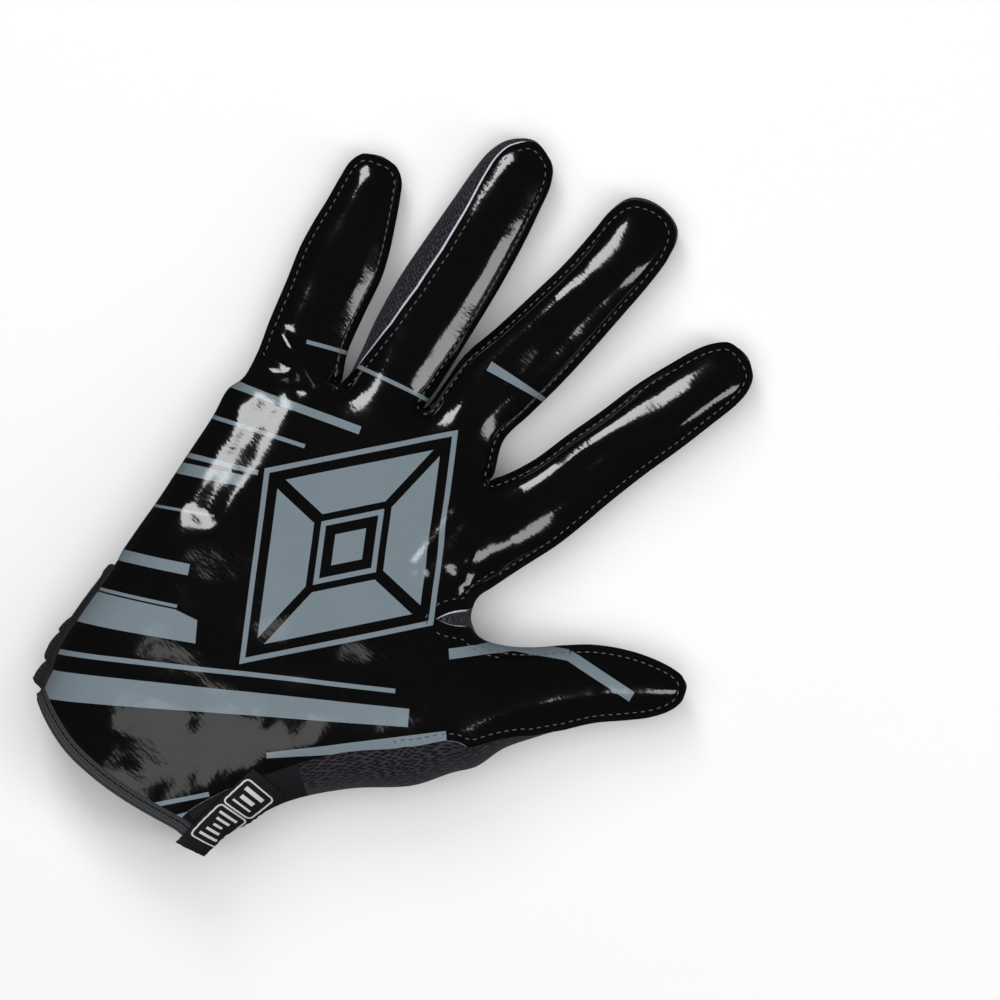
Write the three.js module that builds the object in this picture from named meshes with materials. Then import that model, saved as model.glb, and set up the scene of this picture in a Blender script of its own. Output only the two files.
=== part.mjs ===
import * as THREE from 'three';

// A sports glove for the right hand, lying on its back with the palm up.
// +Y runs from the wrist to the fingertips, +X to the thumb side, +Z up from the palm.

// Main sizes in millimetres.
const PALM_LENGTH = 134;
const PALM_WIDTH = 97;
const PALM_DEPTH = 34;
const LITTLE_LENGTH = 66.8;
const RING_LENGTH = 90.1;
const MIDDLE_LENGTH = 90.3;
const INDEX_LENGTH = 82.8;
const THUMB_LENGTH = 60;
const FINGER_WIDTH = 24;
const FINGER_DEPTH = 18;

// Cloth and trim sizes in millimetres.
const WALL = 1.2;
const GAP = 0.3;
const HEM_GAP = 0.5;
const SEAM_INSET = 1.4;
const BACK_SEAM_INSET = 2.2;
const SIDE_ROUNDING = 9;
const BACK_ROUNDING = 5;
const BINDING_WIDTH = 3.5;
const BINDING_THICKNESS = 1.9;
const HEM_BULGE = 5.3;
const WRIST_BAND_LENGTH = 45;
const STRAP_START = 4.6;
const STRAP_WIDTH = 38;
const STRAP_REACH = 18;
const STRAP_THICKNESS = 2.3;
const STRAP_CURL = 7;
const LABEL_WIDTH = 11;
const LABEL_LENGTH = 29;
const LABEL_THICKNESS = 1;
const MESH_STEP = 7.6;
const BACK_MESH_STEP = 9.9;
const EDGE_STEP = 6.4;

// Columns: along (share of palm length), little-finger side and thumb side of the palm
// (shares of palm width from the hand line), thumb-side seam inset (share of the seam inset).
const PALM_SECTIONS = [
  { along: -0.06, outer: -0.276, inner: 0.383, seam: 8.6 },
  { along: 0.028, outer: -0.300, inner: 0.386, seam: 8.6 },
  { along: 0.11, outer: -0.350, inner: 0.420, seam: 8.4 },
  { along: 0.20, outer: -0.374, inner: 0.466, seam: 7.4 },
  { along: 0.31, outer: -0.393, inner: 0.573, seam: 8.4 },
  { along: 0.41, outer: -0.414, inner: 0.707, seam: 9.0 },
  { along: 0.49, outer: -0.429, inner: 0.768, seam: 7.6 },
  { along: 0.60, outer: -0.456 },
  { along: 0.70, outer: -0.480 },
  { along: 0.765, outer: -0.503 },
  { along: 0.803, outer: -0.493 },
];

// Columns: along (share of finger length from the root), outer and inner (shares of the
// finger width, towards the little-finger side and the thumb side), and the palm seam
// inset on each side (shares of the seam inset).
const LITTLE_SECTIONS = [
  { along: 0.00, outer: 0.57, outerSeam: 1.1 },
  { along: 0.14, outer: 0.575, inner: 0.445, outerSeam: 1.2 },
  { along: 0.32, outer: 0.555, inner: 0.47, outerSeam: 1.2 },
  { along: 0.50, outer: 0.53, inner: 0.515 },
  { along: 0.62, outer: 0.485, inner: 0.495 },
  { along: 0.74, outer: 0.42, inner: 0.445 },
  { along: 0.85, outer: 0.37, inner: 0.39 },
  { along: 0.93, outer: 0.32, inner: 0.33 },
  { along: 0.98, outer: 0.21, inner: 0.20 },
];
const RING_SECTIONS = [
  { along: 0.12, outer: 0.545, inner: 0.455, outerSeam: 1.9 },
  { along: 0.25, outer: 0.59, inner: 0.485, outerSeam: 3.9 },
  { along: 0.40, outer: 0.595, inner: 0.505, outerSeam: 4.9 },
  { along: 0.55, outer: 0.555, inner: 0.515, outerSeam: 4.8 },
  { along: 0.70, outer: 0.505, inner: 0.50, outerSeam: 4.1 },
  { along: 0.82, outer: 0.465, inner: 0.465, outerSeam: 3.2 },
  { along: 0.90, outer: 0.41, inner: 0.43, outerSeam: 2.6 },
  { along: 0.96, outer: 0.28, inner: 0.32, outerSeam: 2.0 },
];
const MIDDLE_SECTIONS = [
  { along: 0.10, outer: 0.555, inner: 0.42 },
  { along: 0.22, outer: 0.605, inner: 0.445 },
  { along: 0.35, outer: 0.545, inner: 0.475 },
  { along: 0.50, outer: 0.495, inner: 0.48 },
  { along: 0.65, outer: 0.455, inner: 0.47 },
  { along: 0.77, outer: 0.46, inner: 0.46 },
  { along: 0.88, outer: 0.485, inner: 0.425, outerSeam: 1.2 },
  { along: 0.95, outer: 0.42, inner: 0.36, outerSeam: 1.4, innerSeam: 1.3 },
  { along: 0.985, outer: 0.26, inner: 0.25, outerSeam: 1.5, innerSeam: 1.4 },
];
const INDEX_SECTIONS = [
  { along: -0.20, inner: 0.555 },
  { along: -0.08, inner: 0.56 },
  { along: 0.08, outer: 0.455, inner: 0.575 },
  { along: 0.18, outer: 0.42, inner: 0.55 },
  { along: 0.32, outer: 0.44, inner: 0.50 },
  { along: 0.47, outer: 0.45, inner: 0.465 },
  { along: 0.62, outer: 0.475, inner: 0.45 },
  { along: 0.76, outer: 0.455, inner: 0.42 },
  { along: 0.87, outer: 0.42, inner: 0.39 },
  { along: 0.93, outer: 0.36, inner: 0.335 },
  { along: 0.975, outer: 0.26, inner: 0.22 },
];
const THUMB_SECTIONS = [
  { along: -0.02, inner: 0.97, innerSeam: 5.4 },
  { along: 0.11, outer: 0.49, inner: 0.755, innerSeam: 2.9 },
  { along: 0.25, outer: 0.465, inner: 0.63, innerSeam: 1.5 },
  { along: 0.40, outer: 0.49, inner: 0.52 },
  { along: 0.55, outer: 0.495, inner: 0.435 },
  { along: 0.70, outer: 0.435, inner: 0.405 },
  { along: 0.82, outer: 0.34, inner: 0.37 },
  { along: 0.92, outer: 0.22, inner: 0.285 },
  { along: 0.975, outer: 0.115, inner: 0.17 },
];

// Columns: root across (share of palm width) and along (share of palm length), lean from
// +Y towards the thumb side in degrees, length and depth of the digit in millimetres,
// lift of its back above the floor.
const DIGITS = [
  { name: 'little', across: -0.384, along: 0.900, lean: -22.6, length: LITTLE_LENGTH,
    sections: LITTLE_SECTIONS, depth: 0.93, lift: 0.3 },
  { name: 'ring', across: -0.133, along: 0.957, lean: -13.1, length: RING_LENGTH,
    sections: RING_SECTIONS, depth: 1.02, lift: 0.3 },
  { name: 'middle', across: 0.097, along: 1.021, lean: -0.8, length: MIDDLE_LENGTH,
    sections: MIDDLE_SECTIONS, depth: 1.0, lift: 0.3 },
  { name: 'index', across: 0.378, along: 0.981, lean: 12.8, length: INDEX_LENGTH,
    sections: INDEX_SECTIONS, depth: 1.0, lift: 0.3 },
  { name: 'thumb', across: 0.652, along: 0.666, lean: 47, length: THUMB_LENGTH,
    sections: THUMB_SECTIONS, depth: 1.15, lift: 2.6 },
];

// Columns: across and along (shares of palm width and length) of the point where two
// fingers part, lean of the gap in degrees.
const CROTCHES = [
  { across: -0.269, along: 0.938, lean: -16 },
  { across: -0.037, along: 1.019, lean: -7 },
  { across: 0.252, along: 1.001, lean: 9 },
];
// Columns: across, along (shares of palm width and length) down the web of the thumb, seam
// inset (share); the mesh reaches in to a point at the apex, with some slack (millimetres).
const WEB = [
  { across: 0.464, along: 0.807, seam: 1 },
  { across: 0.479, along: 0.774, seam: 1.2 },
  { across: 0.4915, along: 0.7605, seam: 7.4, slack: 1, apex: 'web' },
  { across: 0.508, along: 0.752, seam: 1.5 },
  { across: 0.552, along: 0.742, seam: 1 },
];

// Columns: across, along (shares of palm width and length), crown and side height
// (shares of palm depth) and lift of the back above the floor (millimetres).
const PALM_HEIGHTS = [
  { across: -0.25, along: -0.05, crown: 0.94, side: 0.46, lift: 2.6 },
  { across: 0.05, along: -0.05, crown: 1.00, side: 0.47, lift: 2.6 },
  { across: 0.35, along: -0.05, crown: 0.94, side: 0.47, lift: 2.6 },
  { across: -0.30, along: 0.15, crown: 0.93, side: 0.45, lift: 2.6 },
  { across: 0.05, along: 0.15, crown: 0.95, side: 0.46, lift: 2.6 },
  { across: 0.38, along: 0.15, crown: 0.93, side: 0.46, lift: 2.6 },
  { across: -0.33, along: 0.32, crown: 0.94, side: 0.44, lift: 2.6 },
  { across: 0.05, along: 0.32, crown: 0.92, side: 0.45, lift: 2.6 },
  { across: 0.48, along: 0.32, crown: 0.97, side: 0.46, lift: 1.6 },
  { across: -0.35, along: 0.52, crown: 0.94, side: 0.42, lift: 0.2 },
  { across: 0.03, along: 0.52, crown: 0.87, side: 0.42, lift: 0.1 },
  { across: 0.36, along: 0.52, crown: 1.00, side: 0.45, lift: 0.4 },
  { across: 0.62, along: 0.50, crown: 0.96, side: 0.46, lift: 1.4 },
  { across: -0.38, along: 0.72, crown: 0.82, side: 0.38, lift: 0.1 },
  { across: -0.02, along: 0.72, crown: 0.79, side: 0.38, lift: 0.1 },
  { across: 0.33, along: 0.72, crown: 0.86, side: 0.40, lift: 0.2 },
  { across: -0.42, along: 0.88, crown: 0.66, side: 0.31, lift: 0.2 },
  { across: -0.15, along: 0.92, crown: 0.68, side: 0.32, lift: 0.2 },
  { across: 0.10, along: 0.95, crown: 0.70, side: 0.33, lift: 0.2 },
  { across: 0.36, along: 0.90, crown: 0.70, side: 0.33, lift: 0.2 },
];
// Columns: along (share of digit length), crown and side height (shares of digit depth).
const DIGIT_HEIGHTS = [
  { along: 0.15, crown: 1.08, side: 0.50 },
  { along: 0.40, crown: 1.03, side: 0.48 },
  { along: 0.65, crown: 1.00, side: 0.46 },
  { along: 0.95, crown: 0.90, side: 0.42 },
];
const THUMB_HEIGHTS = [
  { along: 0.05, crown: 1.50, side: 0.76 },
  { along: 0.30, crown: 1.32, side: 0.68 },
  { along: 0.60, crown: 1.15, side: 0.58 },
  { along: 0.95, crown: 0.95, side: 0.50 },
];
const HEIGHT_BLEND = 0.13 * PALM_WIDTH;

const radians = (degrees) => degrees * Math.PI / 180;
const clamp = (v, low, high) => Math.min(high, Math.max(low, v));
const mix = (a, b, t) => a + (b - a) * t;

function onPalm(across, along) {
  return { x: across * PALM_WIDTH, y: along * PALM_LENGTH };
}

function onDigit(digit, along, side) {
  const lean = radians(digit.lean);
  const root = onPalm(digit.across, digit.along);
  const a = along * digit.length;
  const s = side * FINGER_WIDTH;
  return {
    x: root.x + a * Math.sin(lean) + s * Math.cos(lean),
    y: root.y + a * Math.cos(lean) - s * Math.sin(lean),
  };
}

function outlineAnchors() {
  const anchors = [];
  const add = (p, seam = 1, tip = null, slack = 0) => {
    anchors.push({ x: p.x, y: p.y, seam, tip, slack });
  };
  for (const row of PALM_SECTIONS) {
    add(onPalm(row.outer, row.along));
  }
  DIGITS.forEach((digit, k) => {
    for (const row of digit.sections) {
      if (row.outer !== undefined) {
        add(onDigit(digit, row.along, -row.outer), row.outerSeam ?? 1);
      }
    }
    add(onDigit(digit, 1, 0), 1.35, digit.name);
    for (const row of [...digit.sections].reverse()) {
      if (row.inner !== undefined) {
        add(onDigit(digit, row.along, row.inner), row.innerSeam ?? 1);
      }
    }
    if (k < 3) {
      const c = onPalm(CROTCHES[k].across, CROTCHES[k].along);
      const lean = radians(CROTCHES[k].lean);
      const up = { x: Math.sin(lean), y: Math.cos(lean) };
      for (const [rise, side] of [[2.4, -0.75], [0, 0], [2.4, 0.75]]) {
        add({ x: c.x + up.x * rise + up.y * side, y: c.y + up.y * rise - up.x * side });
      }
    } else if (k === 3) {
      WEB.forEach((row) => {
        add(onPalm(row.across, row.along), row.seam, row.apex ?? null, row.slack ?? 0);
      });
    }
  });
  for (const row of [...PALM_SECTIONS].reverse()) {
    if (row.inner !== undefined) {
      add(onPalm(row.inner, row.along), row.seam);
    }
  }
  return anchors;
}

// Centripetal spline through the anchors, sampled finely.
function smoothCurve(anchors, perSpan) {
  const curve = [];
  const tips = {};
  const knot = (a, b) => Math.sqrt(Math.hypot(b.x - a.x, b.y - a.y)) + 1e-6;
  for (let i = 0; i < anchors.length - 1; i += 1) {
    const p1 = anchors[i];
    const p2 = anchors[i + 1];
    const p0 = anchors[i - 1] ?? { x: 2 * p1.x - p2.x, y: 2 * p1.y - p2.y, seam: p1.seam };
    const p3 = anchors[i + 2] ?? { x: 2 * p2.x - p1.x, y: 2 * p2.y - p1.y, seam: p2.seam };
    const t1 = knot(p0, p1);
    const t2 = t1 + knot(p1, p2);
    const t3 = t2 + knot(p2, p3);
    if (p1.tip) {
      tips[p1.tip] = curve.length;
    }
    for (let j = 0; j < perSpan; j += 1) {
      const t = mix(t1, t2, j / perSpan);
      const at = (key) => {
        const a1 = mix(p0[key], p1[key], t / t1);
        const a2 = mix(p1[key], p2[key], (t - t1) / (t2 - t1));
        const a3 = mix(p2[key], p3[key], (t - t2) / (t3 - t2));
        const b1 = mix(a1, a2, t / t2);
        const b2 = mix(a2, a3, (t - t1) / (t3 - t1));
        return mix(b1, b2, (t - t1) / (t2 - t1));
      };
      const linear = (key) => mix(p1[key], p2[key], j / perSpan);
      curve.push({ x: at('x'), y: at('y'), seam: linear('seam'), slack: linear('slack') });
    }
  }
  const last = anchors[anchors.length - 1];
  curve.push({ x: last.x, y: last.y, seam: last.seam, slack: last.slack });
  let length = 0;
  curve.forEach((p, i) => {
    length += i ? Math.hypot(p.x - curve[i - 1].x, p.y - curve[i - 1].y) : 0;
    p.s = length;
  });
  curve.forEach((p, i) => {
    const a = curve[Math.max(0, i - 1)];
    const b = curve[Math.min(curve.length - 1, i + 1)];
    const d = Math.hypot(b.x - a.x, b.y - a.y);
    p.nx = (b.y - a.y) / d;
    p.ny = -(b.x - a.x) / d;
  });
  for (const name of Object.keys(tips)) {
    tips[name] = curve[tips[name]].s;
  }
  return { curve, tips, length };
}

const OUTLINE = smoothCurve(outlineAnchors(), 9);

function outlineAt(s) {
  const { curve } = OUTLINE;
  let low = 0;
  let high = curve.length - 1;
  while (high - low > 1) {
    const middle = (low + high) >> 1;
    if (curve[middle].s <= s) {
      low = middle;
    } else {
      high = middle;
    }
  }
  const a = curve[low];
  const b = curve[high];
  const t = (s - a.s) / (b.s - a.s);
  const nx = mix(a.nx, b.nx, t);
  const ny = mix(a.ny, b.ny, t);
  const n = Math.hypot(nx, ny);
  return {
    x: mix(a.x, b.x, t),
    y: mix(a.y, b.y, t),
    seam: mix(a.seam, b.seam, t),
    slack: mix(a.slack, b.slack, t),
    nx: nx / n,
    ny: ny / n,
  };
}

// Straight runs below the hem keep the tube open at the wrist.
const WALLS = (() => {
  const { curve } = OUTLINE;
  const first = curve[0];
  const last = curve[curve.length - 1];
  const below = 0.7 * PALM_LENGTH;
  return [{ x: first.x, y: first.y - below }, ...curve, { x: last.x, y: last.y - below }];
})();

// Smooth distance to the outline: equal to the plain distance near an edge, and without
// a ridge along the middle of a finger.
function depthInside(x, y) {
  let sum = 0;
  for (let i = 1; i < WALLS.length; i += 1) {
    const a = WALLS[i - 1];
    const b = WALLS[i];
    const dx = b.x - a.x;
    const dy = b.y - a.y;
    const length = Math.hypot(dx, dy);
    const s1 = ((a.x - x) * dx + (a.y - y) * dy) / length;
    const s2 = s1 + length;
    const h = Math.max(1e-3, Math.abs((a.x - x) * dy - (a.y - y) * dx) / length);
    sum += (s2 / Math.hypot(s2, h) - s1 / Math.hypot(s1, h)) / (h * h);
  }
  return Math.sqrt(2 / sum);
}

const HEIGHT_POINTS = (() => {
  const points = PALM_HEIGHTS.map((row) => ({
    ...onPalm(row.across, row.along),
    crown: row.crown * PALM_DEPTH,
    side: row.side * PALM_DEPTH,
    lift: row.lift,
  }));
  for (const digit of DIGITS) {
    for (const row of digit.name === 'thumb' ? THUMB_HEIGHTS : DIGIT_HEIGHTS) {
      points.push({
        ...onDigit(digit, row.along, 0),
        crown: row.crown * digit.depth * FINGER_DEPTH,
        side: row.side * digit.depth * FINGER_DEPTH,
        lift: digit.lift,
      });
    }
  }
  return points;
})();

function heightsAt(x, y) {
  let total = 0;
  let crown = 0;
  let side = 0;
  let lift = 0;
  for (const p of HEIGHT_POINTS) {
    const r = ((p.x - x) ** 2 + (p.y - y) ** 2) / (2 * HEIGHT_BLEND ** 2);
    const w = Math.exp(-r) + 1e-9 / (1 + r);
    total += w;
    crown += w * p.crown;
    side += w * p.side;
    lift += w * p.lift;
  }
  return { crown: crown / total, side: side / total, lift: lift / total };
}

function topHeight(x, y) {
  const h = heightsAt(x, y);
  const d = depthInside(x, y);
  return h.side + (h.crown - h.side) * Math.sqrt(1 - Math.exp(-2 * d / SIDE_ROUNDING));
}

function backHeight(x, y) {
  const h = heightsAt(x, y);
  const d = depthInside(x, y);
  return h.side - (h.side - h.lift) * Math.sqrt(1 - Math.exp(-2 * d / BACK_ROUNDING));
}

// Edge of the cuff: the palm side bulges towards the wrist, the back is straight.
function cuffEdge(x, palmSide) {
  if (!palmSide) {
    return 0;
  }
  const middle = -0.07 * PALM_WIDTH;
  const half = (x < middle ? 0.227 : 0.35) * PALM_WIDTH;
  const u = clamp((x - middle) / half, -1, 1);
  return -HEM_BULGE * (1 - u * u) ** 1.2;
}

const HEM = BINDING_WIDTH + HEM_GAP;

function hemCrossing(low, high) {
  let a = low;
  let b = high;
  const sign = Math.sign(outlineAt(a).y - HEM);
  for (let k = 0; k < 50; k += 1) {
    const m = (a + b) / 2;
    if (Math.sign(outlineAt(m).y - HEM) === sign) {
      a = m;
    } else {
      b = m;
    }
  }
  return (a + b) / 2;
}

const OUTER_HEM = hemCrossing(0, 0.3 * PALM_LENGTH);
const INNER_HEM = hemCrossing(OUTLINE.length - 0.3 * PALM_LENGTH, OUTLINE.length);

// Stations along one run of the outline: close together where it turns.
function stations(from, to) {
  const list = [from];
  let last = from;
  let turn = 0;
  const step = 0.5;
  for (let s = from + step; s < to - 1.2; s += step) {
    const a = outlineAt(s - step);
    const b = outlineAt(s);
    turn += Math.abs(Math.atan2(a.nx * b.ny - a.ny * b.nx, a.nx * b.nx + a.ny * b.ny));
    if (s - last >= EDGE_STEP || (turn > 0.42 && s - last > 1.1)) {
      list.push(s);
      last = s;
      turn = 0;
    }
  }
  list.push(to);
  return list;
}

const RUNS = {
  outer_side_band: stations(OUTER_HEM, OUTLINE.tips.little - GAP / 2),
  little_ring_fourchette: stations(OUTLINE.tips.little + GAP / 2, OUTLINE.tips.ring - GAP / 2),
  ring_middle_fourchette: stations(OUTLINE.tips.ring + GAP / 2, OUTLINE.tips.middle - GAP / 2),
  middle_index_fourchette: stations(OUTLINE.tips.middle + GAP / 2, OUTLINE.tips.index - GAP / 2),
  web_gusset: [
    ...stations(OUTLINE.tips.index + GAP / 2, OUTLINE.tips.web),
    ...stations(OUTLINE.tips.web, OUTLINE.tips.thumb - GAP / 2).slice(1),
  ],
  thumb_side_band: stations(OUTLINE.tips.thumb + GAP / 2, INNER_HEM),
};

// Point on the shell, in from the outline at station s: t from 1 at the palm seam,
// through 0 at the silhouette, to -1 at the back seam.
function shellPoint(s, t) {
  const p = outlineAt(s);
  const top = t >= 0;
  const reach = top ? p.seam * SEAM_INSET - GAP - p.slack : BACK_SEAM_INSET - GAP;
  const n = reach * t * t;
  let { nx, ny } = p;
  if (s <= OUTER_HEM + 1e-6 || s >= INNER_HEM - 1e-6) {
    const x = p.x + Math.sign(nx) * reach;
    const run = cuffEdge(x, top) + HEM - p.y;
    nx = Math.sign(nx) * reach;
    ny = run;
    const d = Math.hypot(nx, ny);
    nx /= d;
    ny /= d;
  }
  const x = p.x + nx * n;
  const y = p.y + ny * n;
  return new THREE.Vector3(x, y, top ? topHeight(x, y) : backHeight(x, y));
}

function meshFrom(name, positions, faces, material) {
  let volume = 0;
  const a = new THREE.Vector3();
  for (const [i, j, k] of faces) {
    volume += a.copy(positions[i]).cross(positions[j]).dot(positions[k]);
  }
  const geometry = new THREE.BufferGeometry();
  const flat = [];
  positions.forEach((p) => flat.push(p.x, p.y, p.z));
  geometry.setAttribute('position', new THREE.Float32BufferAttribute(flat, 3));
  geometry.setIndex(faces.flatMap(([i, j, k]) => (volume < 0 ? [i, k, j] : [i, j, k])));
  geometry.computeVertexNormals();
  const mesh = new THREE.Mesh(geometry, material);
  mesh.name = name;
  return mesh;
}

// Closed sheet over a grid of parameters: the surface point at (u, v), pushed out by
// outer and in by inner along its normal.
function sheet(name, point, us, vs, outer, inner, material, ringed = false) {
  const positions = [];
  const rows = us.length;
  const cols = vs.length;
  const du = 0.02 * (us[1] - us[0]);
  for (const layer of [outer, inner]) {
    us.forEach((u, i) => {
      for (const v of vs) {
        const p = point(u, v);
        const h = Math.abs(du);
        const low = !ringed && i === 0 ? point(u, v) : point(u - h, v);
        const high = !ringed && i === rows - 1 ? point(u, v) : point(u + h, v);
        const across = point(u, v + 0.02).sub(point(u, v - 0.02));
        const normal = across.cross(high.sub(low)).normalize();
        const push = typeof layer === 'function' ? layer(u) : layer;
        positions.push(p.clone().addScaledVector(normal, push));
      }
    });
  }
  const id = (layer, i, j) => layer * rows * cols + (i % rows) * cols + j;
  const faces = [];
  const quad = (a, b, c, d) => faces.push([a, b, c], [a, c, d]);
  const spans = ringed ? rows : rows - 1;
  for (let i = 0; i < spans; i += 1) {
    for (let j = 0; j < cols - 1; j += 1) {
      quad(id(0, i, j), id(0, i + 1, j), id(0, i + 1, j + 1), id(0, i, j + 1));
      quad(id(1, i, j), id(1, i, j + 1), id(1, i + 1, j + 1), id(1, i + 1, j));
    }
    quad(id(0, i, 0), id(1, i, 0), id(1, i + 1, 0), id(0, i + 1, 0));
    quad(id(0, i, cols - 1), id(0, i + 1, cols - 1), id(1, i + 1, cols - 1), id(1, i, cols - 1));
  }
  if (!ringed) {
    for (let j = 0; j < cols - 1; j += 1) {
      quad(id(0, 0, j), id(0, 0, j + 1), id(1, 0, j + 1), id(1, 0, j));
      quad(id(0, rows - 1, j), id(1, rows - 1, j), id(1, rows - 1, j + 1), id(0, rows - 1, j + 1));
    }
  }
  return meshFrom(name, positions, faces, material);
}

function polygonContains(polygon, x, y) {
  let inside = false;
  for (let i = 0, j = polygon.length - 1; i < polygon.length; j = i, i += 1) {
    const a = polygon[i];
    const b = polygon[j];
    if ((a.y > y) !== (b.y > y) && x < (b.x - a.x) * (y - a.y) / (b.y - a.y) + a.x) {
      inside = !inside;
    }
  }
  return inside;
}

function distanceToPolygon(polygon, x, y) {
  let best = Infinity;
  for (let i = 0, j = polygon.length - 1; i < polygon.length; j = i, i += 1) {
    const a = polygon[j];
    const b = polygon[i];
    const dx = b.x - a.x;
    const dy = b.y - a.y;
    const t = clamp(((x - a.x) * dx + (y - a.y) * dy) / (dx * dx + dy * dy), 0, 1);
    best = Math.min(best, Math.hypot(a.x + t * dx - x, a.y + t * dy - y));
  }
  return best;
}

// Triangles over a flat polygon with added inner points; the polygon's edges are kept
// and the others are flipped until each triangle is as even as it can be.
function triangulate(polygon, step) {
  const points = polygon.map((p) => ({ x: p.x, y: p.y }));
  const loop = polygon.map((p) => new THREE.Vector2(p.x, p.y));
  const triangles = THREE.ShapeUtils.triangulateShape(loop, []).map((t) => [...t]);
  const cross = (a, b, c) => (points[b].x - points[a].x) * (points[c].y - points[a].y)
    - (points[b].y - points[a].y) * (points[c].x - points[a].x);
  triangles.forEach((t) => {
    if (cross(t[0], t[1], t[2]) < 0) {
      t.reverse();
    }
  });
  const count = polygon.length;
  const fixed = (a, b) => a < count && b < count
    && ((a + 1) % count === b || (b + 1) % count === a);
  const inCircle = (a, b, c, d) => {
    const rows = [a, b, c].map((i) => {
      const x = points[i].x - points[d].x;
      const y = points[i].y - points[d].y;
      return [x, y, x * x + y * y];
    });
    return rows[0][0] * (rows[1][1] * rows[2][2] - rows[1][2] * rows[2][1])
      - rows[0][1] * (rows[1][0] * rows[2][2] - rows[1][2] * rows[2][0])
      + rows[0][2] * (rows[1][0] * rows[2][1] - rows[1][1] * rows[2][0]) > 1e-7;
  };
  const even = () => {
    for (let pass = 0; pass < 60; pass += 1) {
      const edges = new Map();
      triangles.forEach((t, i) => {
        for (let k = 0; k < 3; k += 1) {
          edges.set(`${t[k]}_${t[(k + 1) % 3]}`, [i, t[(k + 2) % 3]]);
        }
      });
      const touched = new Set();
      let flips = 0;
      for (const [key, [i, c]] of edges) {
        const [a, b] = key.split('_').map(Number);
        const other = edges.get(`${b}_${a}`);
        if (!other || fixed(a, b) || touched.has(i) || touched.has(other[0])) {
          continue;
        }
        const d = other[1];
        if (inCircle(a, b, c, d) && cross(a, d, c) > 1e-9 && cross(d, b, c) > 1e-9) {
          triangles[i] = [a, d, c];
          triangles[other[0]] = [d, b, c];
          touched.add(i);
          touched.add(other[0]);
          flips += 1;
        }
      }
      if (!flips) {
        return;
      }
    }
  };
  even();
  const xs = polygon.map((p) => p.x);
  const ys = polygon.map((p) => p.y);
  const rise = step * Math.sqrt(3) / 2;
  let row = 0;
  for (let y = Math.min(...ys) + 0.37 * step; y < Math.max(...ys); y += rise) {
    row += 1;
    for (let x = Math.min(...xs) + (row % 2) * step / 2; x < Math.max(...xs); x += step) {
      if (!polygonContains(polygon, x, y) || distanceToPolygon(polygon, x, y) < 0.52 * step) {
        continue;
      }
      points.push({ x, y });
      const d = points.length - 1;
      const home = triangles.findIndex(([a, b, c]) => cross(a, b, d) >= 0
        && cross(b, c, d) >= 0 && cross(c, a, d) >= 0);
      const [a, b, c] = triangles[home];
      triangles.splice(home, 1, [a, b, d], [b, c, d], [c, a, d]);
    }
    even();
  }
  return { points, triangles };
}

// One cloth panel over a polygon: the outer face follows the height function.
function panel(name, polygon, height, palmSide, step, material) {
  const { points, triangles } = triangulate(polygon, step);
  const total = points.length;
  const outer = [];
  const inner = [];
  for (const p of points) {
    const z = height(p.x, p.y);
    const h = 0.04;
    const gx = (height(p.x + h, p.y) - height(p.x - h, p.y)) / (2 * h);
    const gy = (height(p.x, p.y + h) - height(p.x, p.y - h)) / (2 * h);
    const normal = new THREE.Vector3(-gx, -gy, 1).normalize();
    const inward = palmSide ? -WALL : WALL;
    outer.push(new THREE.Vector3(p.x, p.y, z));
    inner.push(new THREE.Vector3(p.x, p.y, z).addScaledVector(normal, inward));
  }
  const faces = [];
  for (const [a, b, c] of triangles) {
    faces.push([a, b, c], [total + a, total + c, total + b]);
  }
  for (let i = 0; i < polygon.length; i += 1) {
    const j = (i + 1) % polygon.length;
    faces.push([i, total + i, total + j], [i, total + j, j]);
  }
  return meshFrom(name, [...outer, ...inner], faces, material);
}

// Polygon of a panel: in from the outline by the seam inset, closed along the hem.
function seamPolygon(palmSide) {
  const polygon = [];
  const names = Object.keys(RUNS);
  names.forEach((name, k) => {
    RUNS[name].forEach((s, i) => {
      if (k > 0 && i === 0) {
        return;
      }
      const p = outlineAt(s);
      const inset = palmSide ? p.seam * SEAM_INSET : BACK_SEAM_INSET;
      let x = p.x + p.nx * inset;
      let y = p.y + p.ny * inset;
      if ((k === 0 && i === 0) || (k === names.length - 1 && i === RUNS[name].length - 1)) {
        x = p.x + Math.sign(p.nx) * inset;
        y = cuffEdge(x, palmSide) + HEM;
      }
      polygon.push({ x, y });
    });
  });
  const from = polygon[polygon.length - 1];
  const to = polygon[0];
  const count = Math.ceil(Math.abs(to.x - from.x) / EDGE_STEP);
  for (let i = 1; i < count; i += 1) {
    const x = mix(from.x, to.x, i / count);
    polygon.push({ x, y: cuffEdge(x, palmSide) + HEM });
  }
  return polygon.reverse();
}

function cutPolygon(polygon, level, keepAbove) {
  const kept = [];
  const inside = (p) => (keepAbove ? p.y > level : p.y < level);
  polygon.forEach((p, i) => {
    const q = polygon[(i + 1) % polygon.length];
    if (inside(p) && Math.abs(p.y - level) > 1.2) {
      kept.push(p);
    }
    if (inside(p) !== inside(q)) {
      const t = (level - p.y) / (q.y - p.y);
      kept.push({ x: mix(p.x, q.x, t), y: level, cut: inside(p) ? 'leave' : 'enter' });
    }
  });
  const full = [];
  kept.forEach((p, i) => {
    full.push(p);
    const q = kept[(i + 1) % kept.length];
    if (p.cut === 'leave' && q.cut === 'enter') {
      const count = Math.ceil(Math.abs(q.x - p.x) / EDGE_STEP);
      for (let k = 1; k < count; k += 1) {
        full.push({ x: mix(p.x, q.x, k / count), y: level });
      }
    }
  });
  return full;
}

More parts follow.
